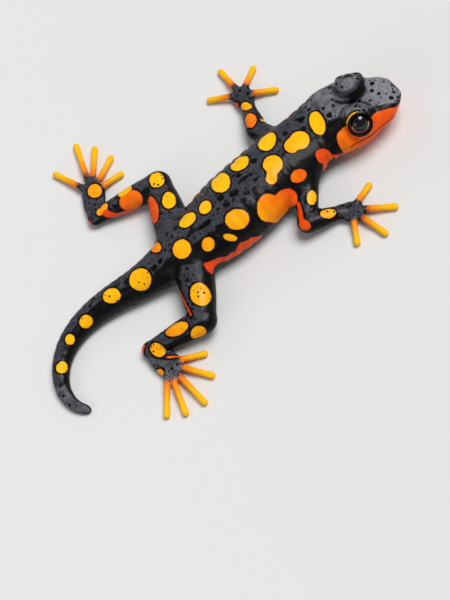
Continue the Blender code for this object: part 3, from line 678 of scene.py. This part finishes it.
def slope_and_depth(p):
    """Direction out of the skin and depth at each point, as four columns."""
    corners = np.array([(1, -1, -1), (-1, -1, 1), (-1, 1, -1), (1, 1, 1)], float)
    depths = [skin_depth(p + SLOPE_STEP * corner) for corner in corners]
    slope = sum(depth[:, None] * corner for depth, corner in zip(depths, corners))
    return np.column_stack([slope / (4 * SLOPE_STEP), np.mean(depths, axis=0)])


def settle(points, rounds, reach=0.4):
    """Moves points on to the skin, and gives the skin's outward direction there."""
    for _ in range(rounds):
        found = in_chunks(slope_and_depth, points)
        slope, depth = found[:, :3], found[:, 3:]
        size = np.linalg.norm(slope, axis=1, keepdims=True)
        outward = slope / np.maximum(size, 1e-6)
        points = points - np.clip(depth / np.maximum(size, 0.3), -reach, reach) * outward
    return points, outward


def relax(points, edges, outward, share):
    """Evens out the mesh along the skin, without moving it in or out."""
    ends = np.concatenate([edges, edges[:, ::-1]])
    count = np.bincount(ends[:, 0], minlength=len(points))
    middle = np.stack(
        [np.bincount(ends[:, 0], points[ends[:, 1], k], len(points)) for k in range(3)], axis=1
    ) / np.maximum(count, 1)[:, None]
    move = middle - points
    move -= (move * outward).sum(axis=1)[:, None] * outward
    return points + share * move


def lattice_depths(low, high):
    """Depths on a lattice over a box. Only blocks near the skin are worked out in full."""
    counts = [int(math.ceil(n / LATTICE_STEP / BLOCK)) for n in high - low]
    middles = [np.arange(n) * BLOCK + BLOCK / 2 - 0.5 for n in counts]
    rough = np.stack(np.meshgrid(*middles, indexing="ij"), -1).reshape(-1, 3)
    depth = in_chunks(skin_depth, low + rough * LATTICE_STEP).reshape(counts)
    for axis in range(3):
        depth = depth.repeat(BLOCK, axis=axis)
    near = np.argwhere(np.abs(depth) < BLOCK * LATTICE_STEP * 1.25)
    depth[tuple(near.T)] = in_chunks(skin_depth, low + near * LATTICE_STEP)
    return depth


def surface_net(low, depth):
    """Vertices and four-sided faces of the surface where a lattice's depth is zero."""
    shape, size = depth.shape, depth.size
    total, count, quads = np.zeros((3, size)), np.zeros(size), []
    for a in range(3):
        b, c = (a + 1) % 3, (a + 2) % 3
        turned = depth.transpose(a, b, c)
        near, far = turned[:-1], turned[1:]
        crossed = (near < 0) != (far < 0)
        cell = np.empty((crossed.sum(), 3), int)
        cell[:, [a, b, c]] = np.argwhere(crossed)
        place = cell.astype(float)
        place[:, a] += near[crossed] / (near[crossed] - far[crossed])
        corners = []
        for step_b, step_c in ((-1, -1), (0, -1), (0, 0), (-1, 0)):
            other = cell.copy()
            other[:, b] += step_b
            other[:, c] += step_c
            flat = np.ravel_multi_index(other.T, shape)
            corners.append(flat)
            count += np.bincount(flat, minlength=size)
            for k in range(3):
                total[k] += np.bincount(flat, place[:, k], size)
        quad = np.stack(corners, axis=1)
        quads.append(np.where((near[crossed] < 0)[:, None], quad, quad[:, ::-1]))
    used = np.flatnonzero(count)
    index = np.zeros(size, int)
    index[used] = np.arange(len(used))
    points = low + (total[:, used] / count[used]).T * LATTICE_STEP
    return points, index[np.concatenate(quads)]


def skin_mesh(points, faces):
    """A bmesh from arrays of points and faces, in millimetres."""
    mesh = bpy.data.meshes.new("work")
    mesh.from_pydata(points.tolist(), [], faces.tolist())
    bm = bmesh.new()
    bm.from_mesh(mesh)
    bpy.data.meshes.remove(mesh)
    bm.verts.ensure_lookup_table()
    return bm


def mesh_arrays(bm):
    """Points and edges of a bmesh, as arrays."""
    bm.verts.index_update()
    points = np.array([v.co[:] for v in bm.verts])
    edges = np.array([(e.verts[0].index, e.verts[1].index) for e in bm.edges])
    return points, edges


def fit_to_skin(bm, rounds, share):
    """Evens out a bmesh along the skin, and puts every vertex on it."""
    points, edges = mesh_arrays(bm)
    points, outward = settle(points, 2)
    for _ in range(rounds):
        points = relax(points, edges, outward, share)
        points, outward = settle(points, 1)
    points, outward = settle(points, 1)
    for v, place in zip(bm.verts, points):
        v.co = place
    return points, outward


def split_edges(bm, wanted):
    """Halves the edges whose two ends are both wanted."""
    chosen = [e for e in bm.edges if wanted[e.verts[0].index] and wanted[e.verts[1].index]]
    bmesh.ops.subdivide_edges(bm, edges=chosen, cuts=1, use_grid_fill=True)


def fine_zone(points):
    """Where the mesh is finest: lids, brows, lips and nostrils."""
    s, _ = spine_place(points[:, :2])
    wanted = (s < MOUTH_END + 1.5) & (np.abs(points[:, 2] - mouth_height(s) - 0.1) < 0.75)
    for side, nostril in zip(SIDES, NOSTRILS):
        reach, away, _ = eye_place(points, side)
        wanted |= (away < 84) & (away > 30) & (reach < EYE_RADIUS + 2.2) & (reach > 3.2)
        wanted |= brow_line(points, side, 0.7) > 0.1
        wanted |= np.linalg.norm(points - nostril, axis=1) < 1.3
    return wanted


def make_skin_mesh():
    """The whole skin: mesh, points, outward directions."""
    low = np.array(CAD_BOX[0]) / MM - FRAME_SHIFT - 2.5
    high = np.array(CAD_BOX[1]) / MM - FRAME_SHIFT + 2.5
    points, faces = surface_net(low, lattice_depths(low, high))
    bm = skin_mesh(points, faces)
    fit_to_skin(bm, 2, 0.5)
    points, _ = mesh_arrays(bm)
    split_edges(bm, spine_place(points[:, :2])[0] < HEAD_MESH_END)
    points, _ = fit_to_skin(bm, 1, 0.5)
    split_edges(bm, fine_zone(points))
    points, outward = fit_to_skin(bm, 2, 0.4)
    return bm, points, outward


def section_place(s, turn):
    """A point of the plain body at a distance from the snout and an angle from the mid back."""
    half, level, back, belly, power = section(s)
    angle = math.radians(turn)
    tall = back - level if math.cos(angle) > 0 else level - belly
    reach = abs(math.sin(angle) / half) ** power + abs(math.cos(angle) / tall) ** power
    reach = reach ** (-1 / power)
    return on_body(s, reach * math.sin(angle), level + reach * math.cos(angle))


def touch_frames(places):
    """For places near the skin: the nearest skin points, and outward, forward and across."""
    points, outward = settle(np.array(places), 5)
    s, _ = spine_place(points[:, :2])
    forward = np.column_stack([on_spine(SPINE_FORWARD, s), 0 * s])
    forward = unit(forward - (forward * outward).sum(axis=1)[:, None] * outward)
    return points, outward, forward, np.cross(forward, outward)


def lobe_depth(x, y, half, width, tilt, ahead, over):
    """Distance from the edge of one lobe of a patch."""
    turn = math.radians(tilt)
    u = (x - ahead) * math.cos(turn) + (y - over) * math.sin(turn)
    v = (y - over) * math.cos(turn) - (x - ahead) * math.sin(turn)
    reach = np.hypot(u / half, v / width)
    slope = np.hypot(u / half**2, v / width**2) / np.maximum(reach, 1e-3)
    return (reach - 1) / np.maximum(slope, 0.5 / half)


def patch_depths(points, outward, patches):
    """For each patch, the points near it, their edge distances, and how far forward they lie."""
    places = [place if len(place) == 3 else section_place(*place) for place, _ in patches]
    for (_, lobes), (centre, normal, forward, across) in zip(patches, zip(*touch_frames(places))):
        lobes = [(*lobe, 0.0, 0.0)[:5] for lobe in lobes]
        reach = max(half + math.hypot(*off) for half, _, _, *off in lobes) + EDGE_REACH
        offset = points - centre
        near = np.flatnonzero((offset**2).sum(axis=1) < reach**2)
        x, y = offset[near] @ forward, offset[near] @ across
        depth = lobe_depth(x, y, *lobes[0])
        for lobe in lobes[1:]:
            depth = smooth_min(depth, lobe_depth(x, y, *lobe), LOBE_BLEND)
        depth = depth + 3 * EDGE_REACH * (1 - ramp(outward[near] @ normal, -0.1, 0.25))
        span = max(half + abs(ahead) for half, _, _, ahead, _ in lobes)
        yield near, depth, np.clip(0.5 + 0.5 * x / span, 0, 1)


class Marks:
    """The nearest coloured patch at every point of the skin."""

    def __init__(self, points):
        self.depth = np.full(len(points), EDGE_REACH)
        self.tone, self.dots = np.zeros((2, len(points)))

    def add(self, near, depth, tone, dots):
        """Takes a patch where its edge is nearer than those before it."""
        better = depth < self.depth[near]
        chosen = near[better]
        self.depth[chosen] = depth[better]
        self.tone[chosen] = np.broadcast_to(tone, depth.shape)[better]
        self.dots[chosen] = dots


def add_spots(marks, points, outward):
    """The spots of back, flanks, limbs and tail."""
    found = patch_depths(points, outward, [(place, lobes) for place, _, _, *lobes in SPOTS])
    for (_, (behind, front), dots, *_), (near, depth, ahead) in zip(SPOTS, found):
        marks.add(near, depth, behind + (front - behind) * ahead, dots)


def toe_shares(points):
    """How far along a toe a point lies, from 0 at the palm or sole to 1 at the tip."""
    shares = np.zeros(len(points))
    for limb in LIMBS:
        joints, _, tips = limb
        near = np.flatnonzero(limb_near(points, limb, 6.0))
        for tip in tips:
            depth, share = digit_depth(points[near], joints[3], tip)
            on_toe = share * (1 - ramp(depth, 0.3, 0.9))
            shares[near] = np.maximum(shares[near], on_toe)
    return shares


def above_cheek(s, turn):
    """How far a point lies above the cheek patch, in millimetres. The left one sits lower."""
    top = smooth_table(*zip(*CHEEK_TOP), np.clip(s, 0, 36)) + (turn < 0) * CHEEK_LEFT_LOWER
    return (top - np.abs(turn)) * CHEEK_DEGREE_MM


def add_head_marks(marks, points, s, offset, turn):
    """The orange cheeks and chin, and the yellow crescent behind each eye."""
    near = np.flatnonzero((s < 38) & (np.abs(offset) < 16))
    at = s[near]
    eyes = {side: eye_place(points[near], side) for side in SIDES}
    edge = smooth_max(above_cheek(at, turn[near]), at - CHEEK_END, 1.5)
    for _, away, _ in eyes.values():
        edge = np.maximum(edge, (EYE_RING_ANGLE - away) * DEGREE_MM)
    tone = CHEEK_TONE - 0.14 * ramp(at, 18.0, 27.0) + 0.1 * ramp(at, 29.0, 33.0)
    marks.add(near, edge, tone, 0.0)
    for side, middle, half in CRESCENTS:
        _, away, round_eye = eyes[side]
        width = CRESCENT_WIDTH * np.cos(np.clip((round_eye - middle) / half, -1, 1) * np.pi / 2)
        edge = np.abs(away - EYE_RING_ANGLE - 3) * DEGREE_MM - width
        marks.add(near, np.where(width > 0.05, edge, EDGE_REACH), CRESCENT_TONE, 0.0)


def ground_tone_and_shade(points, outward, s, turn, clear):
    """0 on black flanks, 1 on the charcoal back and up to 2 on the greyer head and tail end: own
    colours, with painted light where the skin faces up and left and painted shade on the right
    flank.
    """
    # Painted light: the ground is lighter where the skin faces up and to the left, where the light
    # falls, and less so from the neck back.
    to_right = (outward[:, :2] * on_spine(SPINE_RIGHT, s)).sum(axis=1)
    facing_light = outward[:, 2] - 0.22 * to_right + 0.05 * uneven(points, 9.0)
    facing_light -= 0.24 * ramp(s, *NECK_SHADE_RUN) * ((s < 112) & (np.abs(turn) < 95))
    lighter = 0.5 * (1 - ramp(s, *HEAD_GREY_RUN)) + 0.5 * (1 - ramp(s, *SNOUT_GREY_RUN))
    lighter = np.maximum(lighter, 0.35 * ramp(s, *TAIL_GREY_RUN))
    grey = ramp(facing_light, 0.42, 0.7) * (1 + lighter)
    # Painted shade: past an angle that changes along the body the right flank turns black, the
    # part nearest the back a little less so from the middle of the trunk on.
    start = smooth_table(*zip(*RIGHT_FLANK_SHADE_FROM), s)
    black = 1 - FLANK_SHADE_SOFTER * ramp(s, *FLANK_SHADE_SOFTER_RUN) * (1 - ramp(turn, 55.0, 75.0))
    flank = ramp(turn, start, start + RIGHT_FLANK_SHADE_BLEND) * (1 - ramp(clear, 1.0, 3.0))
    grey *= 1 - black * flank
    return np.where(s < 34, grey * ramp(above_cheek(s, turn), 1.7, 3.0), grey)


def eye_ring(points):
    """1 on the black lids that ring each eye, and 0 elsewhere."""
    away = np.minimum(*(eye_place(points, side)[1] for side in SIDES))
    return 1 - ramp(away, EYE_RING_ANGLE - 2, EYE_RING_ANGLE + 2)


def blotch_depths(points, outward):
    """Distance from the edge of the nearest large black blotch of the back."""
    depth = np.full(len(points), EDGE_REACH)
    patches = [(place, [lobe]) for place, lobe in BLOTCHES]
    for near, found, _ in patch_depths(points, outward, patches):
        depth[near] = np.minimum(depth[near], found)
    return depth


def crease_shade(points, s):
    """Painted shade: 1 deep in the mouth line, the brow lines and the nostrils, and 0 elsewhere.
    """
    above = points[:, 2] - mouth_height(s)
    crease = hill(above, 0.32) * (1 - ramp(s, MOUTH_END - 1, MOUTH_END + 1))
    for side, nostril in zip(SIDES, NOSTRILS):
        crease = np.maximum(crease, brow_line(points, side, 0.5))
        crease = np.maximum(crease, hill(np.linalg.norm(points - nostril, axis=1), 0.6))
    return crease


def make_skin():
    """The skin as an object that carries its markings as attributes."""
    bm, points, outward = make_skin_mesh()
    s, offset = spine_place(points[:, :2])
    clear, turn = body_shape(points, s, offset)
    turn = np.degrees(turn)
    marks = Marks(points)
    add_spots(marks, points, outward)
    add_head_marks(marks, points, s, offset, turn)
    obj = finish_mesh("skin", bm)
    give_attributes(
        obj,
        mark=marks.depth + 0.07 * uneven(points, 3.3),
        tone=marks.tone,
        dots=marks.dots,
        # Partly the ground's own colour, partly painted light and painted shade.
        grey=ground_tone_and_shade(points, outward, s, turn, clear),
        blotch=blotch_depths(points, outward),
        # Painted shade in the mouth line, brow lines and nostrils.
        crease=crease_shade(points, s),
        toe=toe_shares(points),
        ring=eye_ring(points),
    )
    return obj


def link(name, data):
    """A new object in the scene."""
    obj = bpy.data.objects.new(name, data)
    bpy.context.scene.collection.objects.link(obj)
    return obj


def finish_mesh(name, bm):
    """A new object from a bmesh in the trunk frame and millimetres."""
    bm.transform(Matrix.Scale(MM, 4) @ Matrix.Translation(Vector(FRAME_SHIFT)))
    mesh = bpy.data.meshes.new(name)
    bm.to_mesh(mesh)
    bm.free()
    mesh.shade_smooth()
    return link(name, mesh)


def give_attributes(obj, **columns):
    """Stores named numbers for each vertex, for the material to read."""
    for name, values in columns.items():
        attribute = obj.data.attributes.new(name, "FLOAT", "POINT")
        attribute.data.foreach_set("value", np.ascontiguousarray(values, np.float32))


def make_eye(side):
    """An eyeball with a bulging cornea, in rings round the way it looks."""
    centre, axes = EYES[side]
    bm = bmesh.new()
    loops = []
    for away in np.radians(EYE_RINGS):
        sides = EYE_SIDES if 0 < away < math.pi else 1
        turns = 2 * np.pi * np.arange(sides) / sides
        flat = np.outer(np.cos(turns), axes[0]) + np.outer(np.sin(turns), axes[2])
        way = math.sin(away) * flat + math.cos(away) * axes[1]
        loop = [bm.verts.new(place) for place in centre + eye_reach(away) * way]
        loops.append(loop * (EYE_SIDES // sides))
    for near, far in zip(loops, loops[1:]):
        for k in range(EYE_SIDES):
            corners = (near[k - 1], near[k], far[k], far[k - 1])
            bm.faces.new(list(dict.fromkeys(corners)))
    bmesh.ops.recalc_face_normals(bm, faces=bm.faces)
    back, out, up = ((mesh_arrays(bm)[0] - centre) @ axes.T).T
    obj = finish_mesh("eyeball_left" if side < 0 else "eyeball_right", bm)
    # low: how far round to the lower side, where the rim's painted reflection goes.
    low = -np.sin(np.arctan2(up, back) - math.radians(EYE_RIM_REFLECTION_TURN))
    give_attributes(obj, across=np.where(out > 0.1, np.hypot(back, up), 2 * EYE_RADIUS), low=low)
    return obj


def eye_reach(away):
    """How far the eye's surface is from its middle, at an angle from the way it looks."""
    out = CORNEA_OUT * math.cos(away)
    bulge = out + math.sqrt(CORNEA_RADIUS**2 - (CORNEA_OUT * math.sin(away)) ** 2)
    return smooth_max(EYE_RADIUS, bulge, CORNEA_BLEND) - CORNEA_SUNK


class Graph:
    """Short calls for building a material's nodes."""

    def __init__(self, name):
        self.material = bpy.data.materials.new(name)
        self.material.use_nodes = True
        self.tree = self.material.node_tree
        place = self.node("TexCoord").outputs["Object"]
        in_mm = self.node("VectorMath", {0: place, "Scale": 1 / MM}, operation="SCALE")
        self.place = in_mm.outputs[0]

    def plug(self, socket, value):
        """Gives a socket a link, a number or a colour."""
        if isinstance(value, bpy.types.NodeSocket):
            self.tree.links.new(value, socket)
        elif isinstance(value, str):
            socket.default_value = colour(value)
        else:
            socket.default_value = value

    def node(self, kind, sockets=(), **settings):
        """Adds a node with its own settings, and fills the sockets that are given."""
        node = self.tree.nodes.new("ShaderNode" + kind)
        for name, value in settings.items():
            setattr(node, name, value)
        for name, value in dict(sockets).items():
            self.plug(node.inputs[name], value)
        return node

    def surface(self, sockets):
        """Fills the shader's own sockets, and gives the finished material."""
        for name, value in sockets.items():
            self.plug(self.tree.nodes["Principled BSDF"].inputs[name], value)
        return self.material

    def math(self, operation, a, b=0.0):
        """One sum on two numbers."""
        return self.node("Math", {0: a, 1: b}, operation=operation).outputs[0]

    def most(self, first, *others):
        """The largest of several numbers."""
        for other in others:
            first = self.math("MAXIMUM", first, other)
        return first

    def ramp(self, value, start, end, low=0.0, high=1.0):
        """A smooth run from low to high between two values."""
        sockets = enumerate((value, start, end, low, high))
        return self.node("MapRange", sockets, interpolation_type="SMOOTHSTEP").outputs[0]

    def mix(self, share, a, b):
        """One colour turning into another."""
        return self.node("Mix", {0: share, 6: a, 7: b}, data_type="RGBA").outputs[2]

    def attribute(self, name):
        """A number that the mesh carries."""
        return self.node("Attribute", attribute_name=name).outputs["Fac"]

    def noise(self, size, detail=2.0):
        """Cloudy noise about 0.5, with features about size millimetres wide."""
        sockets = {"Vector": self.place, "Scale": 1 / size, "Detail": detail}
        return self.node("TexNoise", sockets).outputs["Fac"]

    def cloud(self, size, detail, *run):
        """Cloudy noise spread over a run, as in ramp."""
        return self.ramp(self.noise(size, detail), *run)

    def cells(self, size, feature="F1"):
        """Distance from the middle of scattered cells, in cells, and each cell's own colour."""
        node = self.node("TexVoronoi", {"Vector": self.place, "Scale": 1 / size}, feature=feature)
        return node.outputs["Distance"], node.outputs["Color"]

    def shades(self, value, stops):
        """A colour read from stops of place and colour."""
        node = self.node("ValToRGB", {0: value})
        stop = node.color_ramp.elements
        while len(stop) < len(stops):
            stop.new(1.0)
        for element, (at, code) in zip(stop, stops):
            element.position = at
            element.color = colour(code)
        return node.outputs[0]

    def bump(self, height, distance, **under):
        """A rough surface from a height, on top of another that is given as Normal."""
        sockets = {"Strength": 1.0, "Distance": distance * MM, "Height": height, **under}
        return self.node("Bump", sockets).outputs[0]


def colour(code):
    """A colour for a shader from its usual six-figure code."""
    shares = [int(code[k : k + 2], 16) / 255 for k in (1, 3, 5)]
    return (*[x / 12.92 if x <= 0.04045 else ((x + 0.055) / 1.055) ** 2.4 for x in shares], 1.0)


def specks(g, size, most, share):
    """Scattered small specks of mixed sizes, as a share from 0 to 1."""
    distance, tint = g.cells(size)
    parts = g.node("SeparateColor", {0: tint}).outputs
    radius = g.ramp(parts[0], 1 - share, 1.0, 0.0, most)
    return g.ramp(g.math("SUBTRACT", distance, radius), -0.03, 0.05, 1.0, 0.0)


def spot_colour(g, edge):
    """Yellow to red, a little uneven, deeper at the edge of a spot, with dots on some."""
    tone = g.math("ADD", g.attribute("tone"), g.ramp(edge, -0.9, 0.1, 0.0, 0.07))
    tone = g.math("ADD", tone, g.cloud(2.6, 2.0, 0.3, 0.7, -0.045, 0.045))
    base = g.shades(tone, SPOT_SHADES)
    deeper = g.shades(g.math("ADD", tone, 0.2), SPOT_SHADES)
    base = g.mix(g.cloud(0.9, 3.0, 0.3, 0.75, 0.0, 0.08), base, deeper)
    dots = g.math("MULTIPLY", specks(g, *DOTS), g.attribute("dots"))
    base = g.mix(g.ramp(edge, -0.22, 0.02, 0.0, 0.7), base, SPOT_EDGE)
    return g.mix(dots, base, DOT_BROWN)


def ground_colour(g, edge):
    """Black flanks, a charcoal back with black specks and blotches, and a greyer head; where the
    grey lies is partly painted light and painted shade.
    """
    # The grey attribute: own colour, with painted light on the lit side and painted shade on the
    # right flank.
    grey = g.math("ADD", g.attribute("grey"), g.cloud(3.2, 3.0, 0.3, 0.7, -0.16, 0.16))
    charcoal = g.mix(g.cloud(1.4, 4.0, 0.35, 0.7), CHARCOAL_DARK, CHARCOAL_LIGHT)
    greyer = g.mix(g.cloud(1.2, 4.0, 0.35, 0.7), HEAD_DARK, HEAD_LIGHT)
    light = g.mix(g.ramp(grey, 1.1, 1.9), charcoal, greyer)
    blotch = g.ramp(g.math("ADD", g.attribute("blotch"), g.noise(1.2)), 0.5, 0.6, 1.0, 0.0)
    outline = g.ramp(edge, 0.5, 1.0, 1.0, 0.0)
    dark = g.most(*(specks(g, *layer) for layer in SPECKS), blotch, outline)
    black = g.mix(g.cloud(2.2, 3.0, 0.35, 0.7), BLACK, BLACK_LIGHT)
    return g.mix(g.ramp(grey, 0.35, 0.75), black, g.mix(dark, light, BLACK))


def skin_material():
    """Wet, finely granular skin with its markings."""
    g = Graph("spotted_skin")
    edge = g.math("ADD", g.attribute("mark"), g.cloud(1.3, 3.0, 0.25, 0.75, -0.09, 0.09))
    spot = g.ramp(edge, -0.08, 0.08, 1.0, 0.0)
    base = g.mix(spot, ground_colour(g, edge), spot_colour(g, edge))
    toe = g.math("ADD", g.attribute("toe"), g.cloud(1.1, 2.0, 0.3, 0.7, -0.03, 0.03))
    yellower = g.shades(g.ramp(toe, TOE_COLOUR[0], 0.9, 0.62, 0.12), SPOT_SHADES)
    base = g.mix(g.ramp(toe, *TOE_COLOUR), base, yellower)
    # Painted shade in the mouth line, brow lines and nostrils, mixed in with the lids' black.
    crease = g.math("MULTIPLY", g.attribute("crease"), 0.92)
    grain, _ = g.cells(0.42, "SMOOTH_F1")
    pores, _ = g.cells(0.95)
    pits = g.ramp(pores, 0.0, 0.22, -1.0, 0.0)
    coarse = g.bump(g.noise(1.9, 4.0), 0.16)
    fine = g.bump(g.math("ADD", g.math("MULTIPLY", grain, -1.0), pits), 0.05, Normal=coarse)
    return g.surface({
        "Base Color": g.mix(g.most(crease, g.attribute("ring")), base, LINE_AND_SHADE_BLACK),
        "Roughness": g.cloud(0.8, 3.0, 0.3, 0.7, 0.32, 0.46),
        "Specular IOR Level": 0.12,
        "Coat Weight": 0.07,
        "Coat Roughness": 0.12,
        "Normal": fine,
    })


def eye_material():
    """A dark wet eye with a brown iris and a thin pale rim on its lower half, partly the eye's own
    light ring and partly a painted reflection of the floor.
    """
    g = Graph("eye")
    wavy = g.math("ADD", g.attribute("across"), g.cloud(0.5, 2.0, 0.3, 0.7, -0.05, 0.05))
    streaks = g.mix(g.noise(0.35, 4.0), IRIS_DARK, IRIS_LIGHT)
    iris = g.mix(g.ramp(wavy, 2.2, 2.6), PUPIL, streaks)
    rim_and_reflection = g.math("MULTIPLY", g.ramp(wavy, 2.96, 3.06), g.ramp(wavy, 3.3, 3.4, 1.0, 0.0))
    # Only on the lower half: painted reflection of the floor.
    rim_and_reflection = g.math("MULTIPLY", rim_and_reflection, g.ramp(g.attribute("low"), -0.15, 0.25))
    return g.surface({
        "Base Color": g.mix(g.ramp(wavy, 3.45, 3.6), g.mix(rim_and_reflection, iris, EYE_RIM_AND_REFLECTION), EYE_EDGE),
        "Roughness": g.ramp(wavy, 2.4, 4.0, 0.06, 0.12),
        "IOR": 1.37,
        "Coat Weight": 0.5,
        "Coat Roughness": 0.03,
    })


def make_pieces():
    """The skin over all flesh nodes, and the two eyes."""
    flesh = [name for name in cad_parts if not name.startswith("eye_")]
    skin = make_skin()
    skin.data.materials.append(skin_material())
    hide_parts(*flesh)
    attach(skin, "root")
    gloss = eye_material()
    for side, node in ((-1, "eye_left"), (1, "eye_right")):
        eye = make_eye(side)
        eye.data.materials.append(gloss)
        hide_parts(node)
        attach(eye, "root")


def make_floor():
    """A floor of plain pale paper just under the belly and feet."""
    half, low = FLOOR_SIZE / 2, FLOOR_LEVEL * MM
    corners = [(-half, -half, low), (half, -half, low), (half, half, low), (-half, half, low)]
    mesh = bpy.data.meshes.new("floor")
    mesh.from_pydata(corners, [], [(0, 1, 2, 3)])
    floor = link("floor", mesh)
    paper = {"Base Color": FLOOR_COLOUR, "Roughness": 0.7, "Specular IOR Level": 0.2}
    floor.data.materials.append(Graph("floor").surface(paper))


def add_light(kind, name, way, power):
    """A light that shines from a direction."""
    light = bpy.data.lights.new(name, kind)
    light.energy = power
    lamp = link(name, light)
    lamp.rotation_euler = Vector(way).to_track_quat("Z", "Y").to_euler()
    return lamp


def make_light():
    """Plain soft studio light."""
    key = add_light("SUN", "key", KEY_WAY, KEY_STRENGTH)
    key.data.angle = math.radians(KEY_WIDTH)
    world = bpy.data.worlds.new("studio")
    world.use_nodes = True
    sky = world.node_tree.nodes["Background"].inputs
    sky["Color"].default_value = SKY_COLOUR
    sky["Strength"].default_value = SKY_STRENGTH
    bpy.context.scene.world = world
    for name, way, distance, size, power in LIGHTS:
        lamp = add_light("AREA", name, way, power)
        lamp.data.size = size
        lamp.location = Vector(way).normalized() * distance


def make_camera():
    """A camera at the photo's viewing angle. Its frame is 450 by 600 pixels."""
    height, roll = math.radians(CAMERA_HEIGHT), math.radians(CAMERA_ROLL)
    look = Vector((-math.cos(height), 0.0, -math.sin(height)))
    level, rise = Vector((0.0, 1.0, 0.0)), Vector((-math.sin(height), 0.0, math.cos(height)))
    right = level * math.cos(roll) - rise * math.sin(roll)
    up = level * math.sin(roll) + rise * math.cos(roll)
    width, tall = PHOTO_SIZE
    shift = right * (width / 2 - TRUNK_PIXEL[0]) - up * (tall / 2 - TRUNK_PIXEL[1])
    camera = link("camera", bpy.data.cameras.new("camera"))
    camera.data.lens = CAMERA_LENS
    camera.data.clip_start, camera.data.clip_end = 0.01, 20.0
    distance = tall * PIXEL_MM * CAMERA_LENS / camera.data.sensor_width
    camera.matrix_world = Matrix((right, up, -look)).transposed().to_4x4()
    camera.location = (Vector(FRAME_SHIFT) + shift * PIXEL_MM - look * distance) * MM
    bpy.context.scene.camera = camera


make_pieces()
make_floor()
make_light()
make_camera()
bpy.context.scene.view_settings.view_transform = "Standard"
